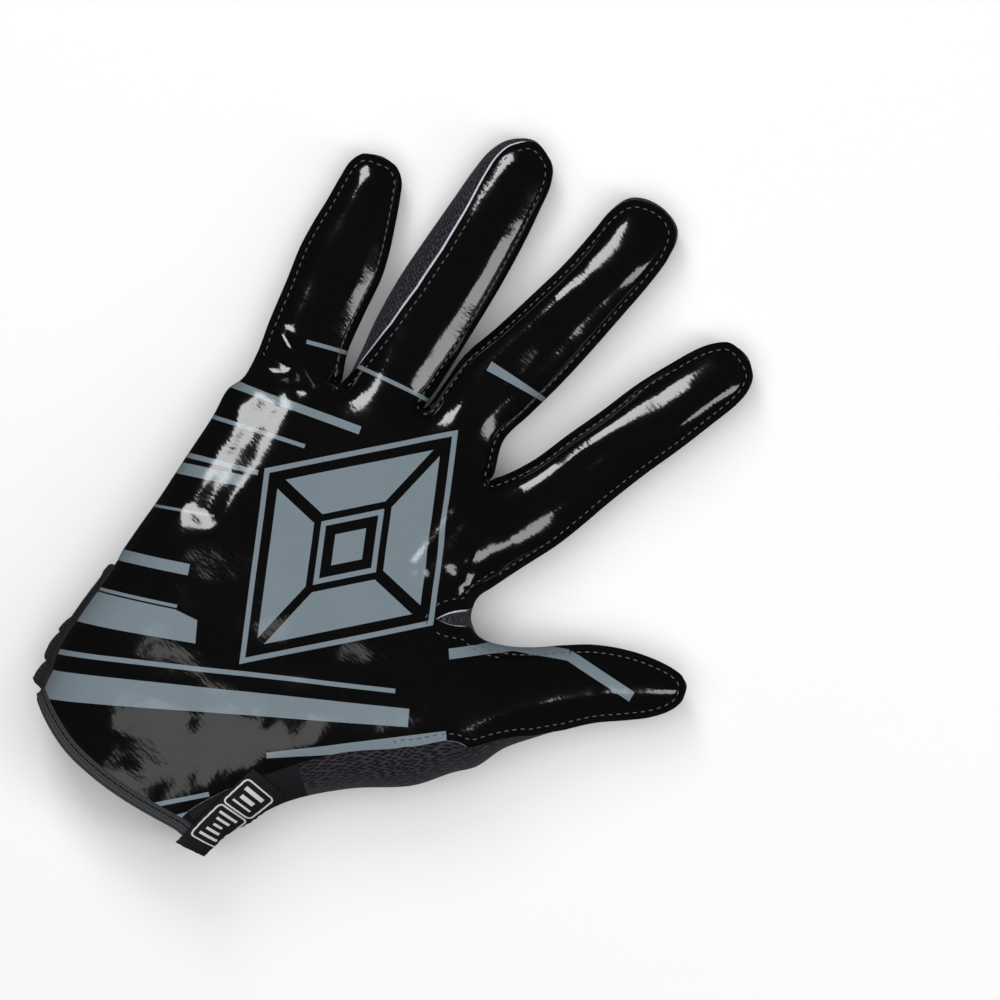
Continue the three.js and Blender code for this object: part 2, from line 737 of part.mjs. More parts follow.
const MATERIALS = {
  grip: new THREE.MeshStandardMaterial({ color: 0x0d0d0e, roughness: 0.16, metalness: 0 }),
  mesh: new THREE.MeshStandardMaterial({ color: 0x1f1b22, roughness: 0.9, metalness: 0 }),
  knit: new THREE.MeshStandardMaterial({ color: 0x17161a, roughness: 0.8, metalness: 0 }),
  binding: new THREE.MeshStandardMaterial({ color: 0x1d1f21, roughness: 0.75, metalness: 0 }),
  strap: new THREE.MeshStandardMaterial({ color: 0x17181a, roughness: 0.55, metalness: 0 }),
  label: new THREE.MeshStandardMaterial({ color: 0x121214, roughness: 0.85, metalness: 0 }),
};

function sideBand(name) {
  const wide = ['thumb_side_band', 'little_ring_fourchette', 'web_gusset'].includes(name);
  const vs = wide ? [1, 0.8, 0.6, 0.35, 0, -0.5, -1] : [1, 0.55, 0, -0.5, -1];
  return sheet(name, shellPoint, RUNS[name], vs, 0, -WALL, MATERIALS.mesh);
}

function silhouette(y) {
  const { curve } = OUTLINE;
  const outer = curve.find((p, i) => i > 0 && p.y >= y) ?? curve[0];
  const i = curve.indexOf(outer);
  const a = curve[Math.max(0, i - 1)];
  const left = i > 0 ? mix(a.x, outer.x, clamp((y - a.y) / (outer.y - a.y), 0, 1)) : outer.x;
  let k = curve.length - 1;
  while (k > 0 && curve[k].y < y) {
    k -= 1;
  }
  const c = curve[k];
  const d = curve[Math.min(curve.length - 1, k + 1)];
  const t = c === d ? 0 : clamp((y - d.y) / (c.y - d.y), 0, 1);
  return { left, right: mix(d.x, c.x, t) };
}

// Bound edge around the cuff opening.
function cuffBinding() {
  const point = (turn, w) => {
    const c = Math.cos(turn);
    const palmSide = Math.sin(turn) >= 0;
    const ends = silhouette(w * BINDING_WIDTH);
    const middle = (ends.left + ends.right) / 2;
    const half = (ends.right - ends.left) / 2;
    const x = middle + half * c;
    const y = cuffEdge(x, palmSide) + w * BINDING_WIDTH;
    return new THREE.Vector3(x, y, palmSide ? topHeight(x, y) : backHeight(x, y));
  };
  const count = 44;
  const turns = Array.from({ length: count }, (_, i) => (i + 0.5) * 2 * Math.PI / count);
  const lift = BINDING_THICKNESS - WALL - GAP;
  return sheet('cuff_binding', point, turns, [0, 1], lift, lift - BINDING_THICKNESS,
    MATERIALS.binding, true);
}

// Closure strap across the back of the wrist; its outer face is flat on the floor.
function wristStrap() {
  const middle = STRAP_START + STRAP_WIDTH / 2;
  const roundedEnd = (v) => 1 - 0.22 * clamp((-4.3 - v) / 0.7, 0, 1) ** 2;
  const point = (row, v) => {
    const y = middle + (row - middle) * roundedEnd(v);
    const { left } = silhouette(y);
    const n = v >= -1 ? BACK_SEAM_INSET * v * v
      : mix(BACK_SEAM_INSET, STRAP_REACH - left, (-v - 1) / 4);
    const x = left + n;
    const z = v > 0 ? topHeight(x, y) : backHeight(x, y);
    return new THREE.Vector3(x, y, z);
  };
  const ys = Array.from({ length: 7 }, (_, i) => STRAP_START + STRAP_WIDTH * i / 6);
  const vs = [0.3, 0, -0.5, -1, -1.25, -1.6, -2.4, -3.4, -4.3, -4.6, -4.85, -5];
  const mesh = sheet('wrist_strap', point, ys, vs, GAP + STRAP_THICKNESS, GAP, MATERIALS.strap);
  const position = mesh.geometry.getAttribute('position');
  for (let i = 0; i < ys.length * vs.length; i += 1) {
    const inFromEdge = position.getX(i) - silhouette(position.getY(i)).left;
    if (inFromEdge > STRAP_CURL || position.getZ(i) < 0) {
      position.setZ(i, 0);
    }
  }
  mesh.geometry.computeVertexNormals();
  return mesh;
}

// Sewn label at the thumb-side corner of the cuff.
function labelTag() {
  const point = (u, v) => {
    const y = mix(27, 27 - LABEL_LENGTH, u);
    const right = silhouette(Math.max(0, y)).right - mix(2.6, 1.1, u);
    const x = right - LABEL_WIDTH * mix(1.0, 0.8, u) * v;
    return new THREE.Vector3(x, y, topHeight(x, y));
  };
  const us = [0, 0.17, 0.34, 0.51, 0.68, 0.8, 0.9, 1];
  const rise = (u) => GAP + 0.55 * clamp((u - 0.55) / 0.2, 0, 1);
  return sheet('label_tag', point, us, [0, 0.15, 0.35, 0.65, 1],
    (u) => rise(u) + LABEL_THICKNESS, (u) => rise(u), MATERIALS.label);
}

const group = new THREE.Group();
group.name = 'receiver_glove';
const back = seamPolygon(false);
const pieces = [
  panel('palm_panel', seamPolygon(true), topHeight, true, MESH_STEP, MATERIALS.grip),
  panel('back_panel', cutPolygon(back, WRIST_BAND_LENGTH + GAP / 2, true), backHeight,
    false, BACK_MESH_STEP, MATERIALS.mesh),
  panel('wrist_band', cutPolygon(back, WRIST_BAND_LENGTH - GAP / 2, false), backHeight,
    false, BACK_MESH_STEP, MATERIALS.knit),
  ...Object.keys(RUNS).map(sideBand),
  cuffBinding(),
  wristStrap(),
  labelTag(),
];
const box = new THREE.Box3();
pieces.forEach((mesh) => {
  mesh.geometry.computeBoundingBox();
  box.union(mesh.geometry.boundingBox);
});
const centre = box.getCenter(new THREE.Vector3());
for (const mesh of pieces) {
  mesh.geometry.translate(-centre.x, -centre.y, -box.min.z);
  group.add(mesh);
}

export default group;
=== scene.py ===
"""A right-hand receiver glove lying on its back, palm up, dressed over its solids.

Lengths below are millimetres in the hand's own axes: x across the palm to the thumb side,
y from the wrist to the fingertips, z up out of the palm. place() takes them to the frame.
"""
import math
import bpy
import numpy as np
from mathutils import Matrix, Vector, geometry, noise


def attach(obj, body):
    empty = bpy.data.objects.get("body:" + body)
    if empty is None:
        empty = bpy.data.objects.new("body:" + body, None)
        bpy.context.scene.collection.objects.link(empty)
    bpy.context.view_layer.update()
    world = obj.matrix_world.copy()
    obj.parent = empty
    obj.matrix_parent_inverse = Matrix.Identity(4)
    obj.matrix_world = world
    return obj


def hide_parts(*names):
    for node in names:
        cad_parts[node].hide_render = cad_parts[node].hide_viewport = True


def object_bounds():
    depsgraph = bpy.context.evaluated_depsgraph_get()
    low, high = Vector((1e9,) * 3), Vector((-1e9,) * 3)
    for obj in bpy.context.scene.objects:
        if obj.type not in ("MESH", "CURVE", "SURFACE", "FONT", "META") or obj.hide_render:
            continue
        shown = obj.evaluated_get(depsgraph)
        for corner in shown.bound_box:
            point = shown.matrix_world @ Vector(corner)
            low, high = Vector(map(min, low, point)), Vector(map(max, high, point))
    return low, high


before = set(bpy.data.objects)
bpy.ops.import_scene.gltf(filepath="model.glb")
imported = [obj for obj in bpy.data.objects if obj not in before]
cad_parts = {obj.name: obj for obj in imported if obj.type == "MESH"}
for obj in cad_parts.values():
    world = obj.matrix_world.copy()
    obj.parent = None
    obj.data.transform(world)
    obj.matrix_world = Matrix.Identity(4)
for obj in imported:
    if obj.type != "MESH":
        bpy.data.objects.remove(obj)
CAD_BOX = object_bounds()

# Main sizes, as in the construction.
PALM_LENGTH = 134.0
PALM_WIDTH = 97.0
PALM_DEPTH = 34.0
FINGER_WIDTH = 24.0
FINGER_DEPTH = 18.0
SEAM_INSET = 1.4
BACK_SEAM_INSET = 2.2
SIDE_ROUNDING = 12.5
BACK_ROUNDING = 5.0
SIDE_REFERENCE = 9.0
BINDING_WIDTH = 3.5
HEM_BULGE = 5.3
WRIST_BAND_LENGTH = 45.0
HEIGHT_BLEND = 0.13 * PALM_WIDTH

# Cloth and sewing sizes.
FILM_THICKNESS = 0.7
FILM_LIFT = 0.04
MESH_THICKNESS = 0.8
STITCH_PITCH = 2.35
STITCH_LENGTH = 1.3
STITCH_THICKNESS = 0.40
STITCH_INSET = 1.9
# The palm's stitches show beyond this x or this y.
STITCHED_FROM = (55, 116)
# The second row round the web: further in, middle from the web's point, reach.
WEB_ROW_INSET = 1.5
WEB_ROW_CENTRE = (-4, -4)
WEB_ROW_REACH = 19
GROOVE_DEPTH = 0.20
GROOVE_WIDTH = 0.5
CUFF_STITCH_PITCH = 2.1
CUFF_STITCH_THICKNESS = 0.34
# Width of the film's cut edge, whose near-white colour is a painted highlight.
CUT_EDGE_HIGHLIGHT_WIDTH = 0.85
# How much of the film's cut edge, painted near-white as a highlight, shows: height up the wrist, share.
CUT_EDGE_HIGHLIGHT_SHARES = [(4.0, 0.0), (5.0, 0.3), (95.0, 0.3), (105.0, 1.0)]
STRAP_FILM_INSET = 1.2
SURFACE_STEP = 1.35
BACK_STEP = 2.2
# Distances in from a panel's edge of the rows of points that shape its rim.
FILM_RINGS = (0.4, 0.95, 1.45, 1.9, 2.35, 3.0)
BACK_RINGS = (0.8, 1.8)

# Columns: along, little-finger side, thumb side (shares of the palm), thumb-side seam inset.
PALM_SECTIONS = [
    (-0.06, -0.276, 0.383, 8.6),
    (0.028, -0.300, 0.386, 8.6),
    (0.11, -0.350, 0.420, 8.4),
    (0.20, -0.374, 0.466, 7.4),
    (0.31, -0.393, 0.573, 8.4),
    (0.41, -0.414, 0.707, 9.0),
    (0.49, -0.429, 0.768, 7.6),
    (0.60, -0.456, None, None),
    (0.70, -0.480, None, None),
    (0.765, -0.503, None, None),
    (0.803, -0.493, None, None),
]
# Columns: along, outer, inner (shares of length and width), seam inset outer and inner.
LITTLE_SECTIONS = [
    (0.00, 0.57, None, 1.1, 1), (0.14, 0.575, 0.445, 1.2, 1), (0.32, 0.555, 0.47, 1.2, 1),
    (0.50, 0.53, 0.515, 1, 1), (0.62, 0.485, 0.495, 1, 1), (0.74, 0.42, 0.445, 1, 1),
    (0.85, 0.37, 0.39, 1, 1), (0.93, 0.32, 0.33, 1, 1), (0.98, 0.21, 0.20, 1, 1),
]
RING_SECTIONS = [
    (0.12, 0.545, 0.455, 1.9, 1), (0.25, 0.59, 0.485, 3.9, 1), (0.40, 0.595, 0.505, 4.9, 1),
    (0.55, 0.555, 0.515, 4.8, 1), (0.70, 0.505, 0.50, 4.1, 1), (0.82, 0.465, 0.465, 3.2, 1),
    (0.90, 0.41, 0.43, 2.6, 1), (0.96, 0.28, 0.32, 2.0, 1),
]
MIDDLE_SECTIONS = [
    (0.10, 0.555, 0.42, 1, 1), (0.22, 0.605, 0.445, 1, 1), (0.35, 0.545, 0.475, 1, 1),
    (0.50, 0.495, 0.48, 1, 1), (0.65, 0.455, 0.47, 1, 1), (0.77, 0.46, 0.46, 1, 1),
    (0.88, 0.485, 0.425, 1.2, 1), (0.95, 0.42, 0.36, 1.4, 1.3), (0.985, 0.26, 0.25, 1.5, 1.4),
]
INDEX_SECTIONS = [
    (-0.20, None, 0.555, 1, 1), (-0.08, None, 0.56, 1, 1), (0.08, 0.455, 0.575, 1, 1),
    (0.18, 0.42, 0.55, 1, 1), (0.32, 0.44, 0.50, 1, 1), (0.47, 0.45, 0.465, 1, 1),
    (0.62, 0.475, 0.45, 1, 1), (0.76, 0.455, 0.42, 1, 1), (0.87, 0.42, 0.39, 1, 1),
    (0.93, 0.36, 0.335, 1, 1), (0.975, 0.26, 0.22, 1, 1),
]
THUMB_SECTIONS = [
    (-0.02, None, 0.97, 1, 5.4), (0.11, 0.49, 0.755, 1, 2.9), (0.25, 0.465, 0.63, 1, 1.5),
    (0.40, 0.49, 0.52, 1, 1), (0.55, 0.495, 0.435, 1, 1), (0.70, 0.435, 0.405, 1, 1),
    (0.82, 0.34, 0.37, 1, 1), (0.92, 0.22, 0.285, 1, 1), (0.975, 0.115, 0.17, 1, 1),
]
# Columns: name, root across and along (shares of the palm), lean, length, sections,
# depth (share of finger depth), lift above the floor.
DIGITS = [
    ("little", -0.384, 0.900, -22.6, 66.8, LITTLE_SECTIONS, 0.93, 0.3),
    ("ring", -0.133, 0.957, -13.1, 90.1, RING_SECTIONS, 1.02, 0.3),
    ("middle", 0.097, 1.021, -0.8, 90.3, MIDDLE_SECTIONS, 1.0, 0.3),
    ("index", 0.378, 0.981, 12.8, 82.8, INDEX_SECTIONS, 1.0, 0.3),
    ("thumb", 0.652, 0.666, 47.0, 60.0, THUMB_SECTIONS, 1.15, 2.6),
]
# Columns: across, along, lean of the gap between two fingers.
CROTCHES = [(-0.269, 0.938, -16), (-0.037, 1.019, -7), (0.252, 1.001, 9)]
# Columns: across, along, seam inset, name of the point where the web's mesh ends.
WEB = [
    (0.464, 0.807, 1.0, None), (0.479, 0.774, 1.2, None), (0.4915, 0.7605, 7.4, "web"),
    (0.508, 0.752, 1.5, None), (0.552, 0.742, 1.0, None),
]
# Columns: across, along, crown height, side height (shares of palm depth), lift.
PALM_HEIGHTS = [
    (-0.25, -0.05, 0.94, 0.46, 2.6), (0.05, -0.05, 1.00, 0.47, 2.6), (0.35, -0.05, 0.94, 0.47, 2.6),
    (-0.30, 0.15, 0.93, 0.45, 2.6), (0.05, 0.15, 0.95, 0.46, 2.6), (0.38, 0.15, 0.93, 0.46, 2.6),
    (-0.33, 0.32, 0.94, 0.44, 2.6), (0.05, 0.32, 0.92, 0.45, 2.6), (0.48, 0.32, 0.97, 0.46, 1.6),
    (-0.35, 0.52, 0.94, 0.42, 0.2), (0.03, 0.52, 0.87, 0.42, 0.1), (0.36, 0.52, 1.00, 0.45, 0.4),
    (0.62, 0.50, 0.96, 0.46, 1.4), (-0.38, 0.72, 0.82, 0.38, 0.1), (-0.02, 0.72, 0.79, 0.38, 0.1),
    (0.33, 0.72, 0.86, 0.40, 0.2), (-0.42, 0.88, 0.66, 0.31, 0.2), (-0.15, 0.92, 0.68, 0.32, 0.2),
    (0.10, 0.95, 0.70, 0.33, 0.2), (0.36, 0.90, 0.70, 0.33, 0.2),
]
# Columns: along, crown height, side height (shares of the digit's depth).
DIGIT_HEIGHTS = [(0.15, 1.08, 0.50), (0.40, 1.03, 0.48), (0.65, 1.00, 0.46), (0.95, 0.90, 0.42)]
THUMB_HEIGHTS = [(0.05, 1.50, 0.76), (0.30, 1.32, 0.68), (0.60, 1.15, 0.58), (0.95, 0.95, 0.50)]

# Columns: start x, y, end x, y, height, width of each raised fold in the grip film.
FOLDS = [
    (-52, 124, -31, 122, 1.3, 2.6),
    (-47, 113, -39, 117, 0.9, 2.4),
    (-47, 118.5, -34, 115.5, -0.7, 3.0),
    (27, 103, 25, 121, 0.9, 3.0),
    (33, 121, 40, 109, 0.9, 2.6),
    (44, 118, 36, 107, -0.8, 3.2),
    (-20, 30, 30, 44, -0.7, 7.0),
    (-24, 12, 6, 26, 0.7, 6.0),
    (10, 52, 42, 76, -1.1, 9.0),
    (-28, 28, 34, 46, 1.5, 12.0),
]
# Rolls of a finger's pad to its outer side: place along the digit (share), slope.
ROLLS = {
    "middle": [(0.0, -0.06), (0.55, -0.06), (0.80, 0.12), (1.1, 0.12)],
    "index": [(0.1, -0.08), (0.42, -0.06), (0.66, 0.18), (1.1, 0.18)],
}

# Bends of a finger: place along the digit (share), how far its palm side is raised.
BENDS = {
    "middle": [(0.0, 0.0), (0.55, 1.9), (0.72, 1.9), (1.05, -0.5)],
    "index": [(0.05, 0.0), (0.42, 0.9), (0.55, 0.9), (1.05, -0.4)],
}

# Columns: start x, y, end x, y, drop on the left of that line, width of the slope.
STEPS = [(-25.0, 70.0, -35.0, 112.0, 2.4, 4.0)]

# Printed bars: start x, y, end x, y, width at each end.
STRIPES = [
    (-52, 102.8, -12.5, 119.6, 2.4, 2.4),
    (-50, 91.8, -21, 105.4, 1.2, 1.2),
    (-48, 78.2, -25.5, 90.8, 1.5, 1.5),
    (-47, 73.8, -26.5, 86.4, 3.4, 3.4),
    (-46, 60.0, -26, 73.2, 0.8, 0.8),
    (-43.5, 43.1, -21, 57.1, 3.3, 3.3),
    (-38.4, 33.65, -16.35, 47.1, 0.95, 0.95),
    (-36, 11.2, 46, 72.0, 1.5, 1.3),
    (-34, 0.5, 54, 69.0, 8.6, 5.2),
    (31.5, 33.5, 66, 72, 1.6, 4.6),
    (14, -4, 27, 14, 1.3, 1.3),
    (21, -4, 30, 10.5, 2.4, 2.4),
    (-41.5, 127.8, -29, 134.6, 1.2, 1.2),
    (-26.5, 132.6, -5, 139.4, 1.2, 1.2),
    (2.0, 158.8, 22, 163.2, 3.0, 1.2),
    (50, 90, 62.5, 104, 3.0, 3.0),
    (62.5, 104, 76, 113, 3.0, 3.0),
    (76, 113, 97, 117, 3.0, 3.0),
]
# Corners of the wide bar with a slanted end.
WIDE_BAR = [(-40.0, 31.6), (-16.1, 46.1), (-9.4, 48.1), (-5.2, 42.9), (-40.0, 20.2)]
# Nested diamonds in the middle of the palm.
DIAMOND_CENTRE = (8.0, 93.0)
DIAMOND_HALF = (33.0, 46.0)
# Columns: outer and inner size of each ring (shares of the half sizes), corner gap.
DIAMOND_RINGS = [(1.0, 0.945, 0.0), (0.84, 0.40, 0.045), (0.325, 0.27, 0.0), (0.16, 0.0, 0.0)]

# The label: its upper corner on the thumb side, size, thickness, and the field for its marks.
LABEL_CORNER = (42.3, 28.7)
LABEL_LENGTH = 29.0
LABEL_WIDTH = 11.2
LABEL_THICKNESS = 0.55
LABEL_FIELD = (29.5, 10.6)
LABEL_MARK_LIFT = 0.62
# Frames on the label: start and end along it, edges across it, corner radius, line width.
LABEL_FRAMES = [(3.0, 12.3), (13.2, 25.2)]
LABEL_FRAME_EDGES = (1.0, 9.7)
LABEL_FRAME_RADIUS = 1.1
LABEL_FRAME_LINE = 0.46
# Bars on the label: place along it, start and end across it, width.
LABEL_BARS = [
    (5.4, 2.6, 8.2, 1.3), (8.0, 3.4, 7.4, 1.3), (10.2, 2.6, 8.2, 0.6), (15.2, 2.6, 8.2, 0.8),
    (17.2, 3.3, 7.5, 0.8), (19.2, 4.0, 6.8, 0.8), (21.2, 3.3, 7.5, 0.8), (23.2, 2.6, 8.2, 0.8),
]

# Where the mesh of the thumb side is sewn to the knit of the wrist.
KNIT_SEAM = (50.4, 31.9)

# Columns: height up the wrist, how far the strap stands out of the side of the hand.
STRAP_LOBES = [
    (2.6, 1.6), (2.9, 3.2), (3.9, 4.2), (6.4, 3.9), (8.6, 3.1), (9.7, 2.3), (9.9, 1.7), (10.2, 2.7),
    (11.4, 3.1), (14.6, 2.8), (17.4, 2.1), (18.0, 1.6), (18.4, 2.5), (20.4, 2.3), (22.2, 1.8),
    (23.2, 1.3), (30.0, 1.2), (37.2, 1.0), (38.0, 1.1), (39.4, 1.5), (41.4, 1.3), (42.4, 0.6),
]
STRAP_RIB_PITCH = 1.15
STRAP_RIB_DEPTH = 0.16
# Where the strap's part under the hand starts, narrows about, ends and lies flat from.
STRAP_LOWEST = 4.8
STRAP_MIDDLE = 23.6
STRAP_REACH = 18
STRAP_FLAT_FROM = 7
STRAP_ROUNDING = 0.9
STRAP_CLEARANCE = 0.25

# Section of the cuff tape: height up from the hem, how far out of the glove.
CUFF_PROFILE = [
    (3.95, -0.35), (3.95, 0.12), (3.82, 0.36), (3.55, 0.44), (2.95, 0.44), (2.80, 0.34), (2.72, 0.08),
    (2.48, 0.08), (2.40, 0.38), (2.2, 0.50), (1.3, 0.55), (0.6, 0.52), (0.15, 0.38), (-0.05, 0.05),
    (-0.10, -0.3), (0.1, -0.85), (0.6, -1.15), (3.5, -1.15), (3.8, -0.75),
]
# Sides of that section that lie in the groove of the stitches; they are painted dark as the groove's
# shade.
CUFF_SHADED_GROOVE = range(5, 8)
CUFF_STEPS = 300

# Strips of mesh between the tips of neighbouring digits, from the little finger on.
BANDS = [
    ("outer_side_mesh", "outer_side_band"), ("little_ring_mesh", "little_ring_fourchette"),
    ("ring_middle_mesh", "ring_middle_fourchette"), ("middle_index_mesh", "middle_index_fourchette"),
    ("web_mesh", "web_gusset"),
]

# Photograph framing: millimetres across a pixel and the hand-axes point at its middle.
PHOTO_PIXEL = 0.29
PHOTO_CENTRE = (30.6, 132.6)
PHOTO_ROLL = 43.0
CAMERA_HEIGHT = 1.7
PHOTO_FOCUS_HEIGHT = 0.014


def on_palm(across, along):
    return np.array([across * PALM_WIDTH, along * PALM_LENGTH])


def on_digit(digit, along, side):
    _, across, root_along, lean, length = digit[:5]
    angle = math.radians(lean)
    a = along * length
    s = side * FINGER_WIDTH
    turn = np.array([a * math.sin(angle) + s * math.cos(angle),
                     a * math.cos(angle) - s * math.sin(angle)])
    return on_palm(across, root_along) + turn


def outline_anchors():
    """Points, seam insets and fingertip names round the hand from wrist to wrist."""
    rows = [(*on_palm(outer, along), 1.0, None) for along, outer, _, _ in PALM_SECTIONS]
    for k, digit in enumerate(DIGITS):
        for along, outer, _, seam, _ in digit[5]:
            if outer is not None:
                rows.append((*on_digit(digit, along, -outer), seam, None))
        rows.append((*on_digit(digit, 1, 0), 1.35, digit[0]))
        for along, _, inner, _, seam in reversed(digit[5]):
            if inner is not None:
                rows.append((*on_digit(digit, along, inner), seam, None))
        if k < 3:
            across, along, lean = CROTCHES[k]
            c = on_palm(across, along)
            angle = math.radians(lean)
            up = np.array([math.sin(angle), math.cos(angle)])
            side = np.array([up[1], -up[0]])
            for rise, shift in ((2.4, -0.75), (0, 0), (2.4, 0.75)):
                rows.append((*(c + up * rise + side * shift), 1.0, None))
        elif k == 3:
            rows += [(*on_palm(across, along), seam, tip) for across, along, seam, tip in WEB]
    for along, _, inner, seam in reversed(PALM_SECTIONS):
        if inner is not None:
            rows.append((*on_palm(inner, along), seam, None))
    return rows


def smooth_curve(rows, per_span):
    """Centripetal spline through the anchors: points, seam insets and tip indices."""
    p = np.array([r[:2] for r in rows], float)
    seam = np.array([r[2] for r in rows], float)
    p = np.vstack([2 * p[0] - p[1], p, 2 * p[-1] - p[-2]])
    points, insets, tips = [], [], {}
    for i in range(len(rows) - 1):
        p0, p1, p2, p3 = p[i:i + 4]
        t1 = math.sqrt(np.linalg.norm(p1 - p0)) + 1e-6
        t2 = t1 + math.sqrt(np.linalg.norm(p2 - p1)) + 1e-6
        t3 = t2 + math.sqrt(np.linalg.norm(p3 - p2)) + 1e-6
        if rows[i][3]:
            tips[rows[i][3]] = len(points)
        for j in range(per_span):
            u = j / per_span
            t = t1 + (t2 - t1) * u
            a1 = p0 + (p1 - p0) * t / t1
            a2 = p1 + (p2 - p1) * (t - t1) / (t2 - t1)
            a3 = p2 + (p3 - p2) * (t - t2) / (t3 - t2)
            b1 = a1 + (a2 - a1) * t / t2
            b2 = a2 + (a3 - a2) * (t - t1) / (t3 - t1)
            points.append(b1 + (b2 - b1) * (t - t1) / (t2 - t1))
            insets.append(seam[i] + (seam[i + 1] - seam[i]) * u)
    points.append(p[-2])
    insets.append(seam[-1])
    return np.array(points), np.array(insets), tips


def run_lengths(points):
    """How far along a run of points each one lies."""
    return np.concatenate([[0], np.cumsum(np.linalg.norm(np.diff(points, axis=0), axis=1))])


CURVE, CURVE_SEAM, TIP_INDEX = smooth_curve(outline_anchors(), 10)
CURVE_S = run_lengths(CURVE)
TANGENT = np.gradient(CURVE, axis=0)
TANGENT /= np.linalg.norm(TANGENT, axis=1)[:, None]
INWARD = np.column_stack([TANGENT[:, 1], -TANGENT[:, 0]])
TIP_S = {name: CURVE_S[i] for name, i in TIP_INDEX.items()}
WALLS = np.vstack([CURVE[0] - [0, 0.7 * PALM_LENGTH], CURVE, CURVE[-1] - [0, 0.7 * PALM_LENGTH]])

# The hand axes start at the wrist; the frame starts at the middle of the glove's box.
SHIFT = np.array([CAD_BOX[1].x * 1000 - CURVE[:, 0].max(), CAD_BOX[1].y * 1000 - CURVE[:, 1].max(), 0])


def outline_at(s):
    """Points, inward normals and seam insets (millimetres) at arc lengths s."""
    s = np.asarray(s, float)
    at = [np.interp(s, CURVE_S, column) for column in (*CURVE.T, *INWARD.T, CURVE_SEAM)]
    normal = np.column_stack(at[2:4])
    normal /= np.linalg.norm(normal, axis=1)[:, None]
    return np.column_stack(at[:2]), normal, at[4] * SEAM_INSET


def depth_inside(xy):
    """Smooth distance to the outline, without a ridge along the middle of a finger."""
    out = np.empty(len(xy))
    a, b = WALLS[:-1], WALLS[1:]
    d = b - a
    length = np.linalg.norm(d, axis=1)
    d = d / length[:, None]
    for start in range(0, len(xy), 3000):
        part = xy[start:start + 3000]
        rx = a[None, :, 0] - part[:, 0, None]
        ry = a[None, :, 1] - part[:, 1, None]
        s1 = rx * d[:, 0] + ry * d[:, 1]
        s2 = s1 + length
        h2 = np.maximum((rx * d[:, 1] - ry * d[:, 0]) ** 2, 1e-6)
        total = ((s2 / np.sqrt(s2 * s2 + h2) - s1 / np.sqrt(s1 * s1 + h2)) / h2).sum(axis=1)
        out[start:start + 3000] = np.sqrt(2 / total)
    return out


def height_points():
    rows = [(*on_palm(x, y), crown * PALM_DEPTH, side * PALM_DEPTH, lift)
            for x, y, crown, side, lift in PALM_HEIGHTS]
    for digit in DIGITS:
        table = THUMB_HEIGHTS if digit[0] == "thumb" else DIGIT_HEIGHTS
        for along, crown, side in table:
            depth = digit[6] * FINGER_DEPTH
            rows.append((*on_digit(digit, along, 0), crown * depth, side * depth, digit[7]))
    return np.array(rows)


HEIGHT_POINTS = height_points()


def heights_at(xy):
    r = ((xy[:, None, :] - HEIGHT_POINTS[None, :, :2]) ** 2).sum(axis=2) / (2 * HEIGHT_BLEND ** 2)
    w = np.exp(-r) + 1e-9 / (1 + r)
    return (w @ HEIGHT_POINTS[:, 2:]) / w.sum(axis=1)[:, None]


def swell(d, rounding):
    return np.sqrt(1 - np.exp(-2 * d / rounding))


def top_height(xy):
    """Palm side of the shell: rounder than the frame near the edges, as high in the middle."""
    crown, side, _ = heights_at(xy).T
    d = depth_inside(xy)
    cap = swell(np.minimum(d, 9.0), SIDE_REFERENCE) / swell(np.minimum(d, 9.0), SIDE_ROUNDING)
    blend = np.clip(d / 9.0, 0, 1)
    return side + (crown - side) * swell(d, SIDE_ROUNDING) * (1 + (cap - 1) * blend)


def back_height(xy):
    _, side, lift = heights_at(xy).T
    return side - (side - lift) * swell(depth_inside(xy), BACK_ROUNDING)


def relief(xy):
    """Folds and slack in the palm side, fading out towards the edge of the hand."""
    z = np.zeros(len(xy))
    for x0, y0, x1, y1, drop, width in STEPS:
        a, b = np.array([x0, y0]), np.array([x1, y1])
        t = ((xy - a) @ (b - a)) / ((b - a) @ (b - a))
        gap = (xy - a) @ np.array([a[1] - b[1], b[0] - a[0]]) / np.linalg.norm(b - a)
        ends = np.exp(-np.maximum(0, np.abs(t - 0.5) - 0.4) ** 2 / 0.02)
        z -= drop * 0.5 * (1 + np.tanh(gap / width)) * np.exp(-(np.maximum(gap, 0) / 14) ** 2) * ends
    for x0, y0, x1, y1, height, width in FOLDS:
        a, b = np.array([x0, y0]), np.array([x1, y1])
        t = np.clip(((xy - a) @ (b - a)) / ((b - a) @ (b - a)), 0, 1)
        gap = np.linalg.norm(xy - (a + t[:, None] * (b - a)), axis=1)
        z += height * np.exp(-(gap / width) ** 2)
    for digit in DIGITS:
        if digit[0] in ROLLS:
            root, tip = on_digit(digit, 0, 0), on_digit(digit, 1, 0)
            ahead = (tip - root) / np.linalg.norm(tip - root)
            along = (xy - root) @ ahead / np.linalg.norm(tip - root)
            outward = (xy - root) @ np.array([-ahead[1], ahead[0]])
            near = np.exp(-np.maximum(0, np.abs(outward) - 0.5 * FINGER_WIDTH) ** 2 / 4)
            near *= np.clip((along + 0.05) / 0.2, 0, 1)
            z -= np.interp(along, *np.array(ROLLS[digit[0]]).T) * outward * near
            places, raised = np.array(BENDS[digit[0]]).T
            part = np.interp(along, places, np.arange(len(places)))
            part = np.floor(part) + 0.5 - 0.5 * np.cos(math.pi * (part - np.floor(part)))
            z += np.interp(part, np.arange(len(places)), raised) * near
    slack = [0.24 * noise.noise((x / 15, y / 15, 0.3)) + 0.07 * noise.noise((x / 5, y / 5, 2.1))
             for x, y in xy]
    return (z + np.array(slack)) * (1 - np.exp(-(depth_inside(xy) / 2.5) ** 2))


def palm_height(xy):
    return top_height(xy) + relief(xy)


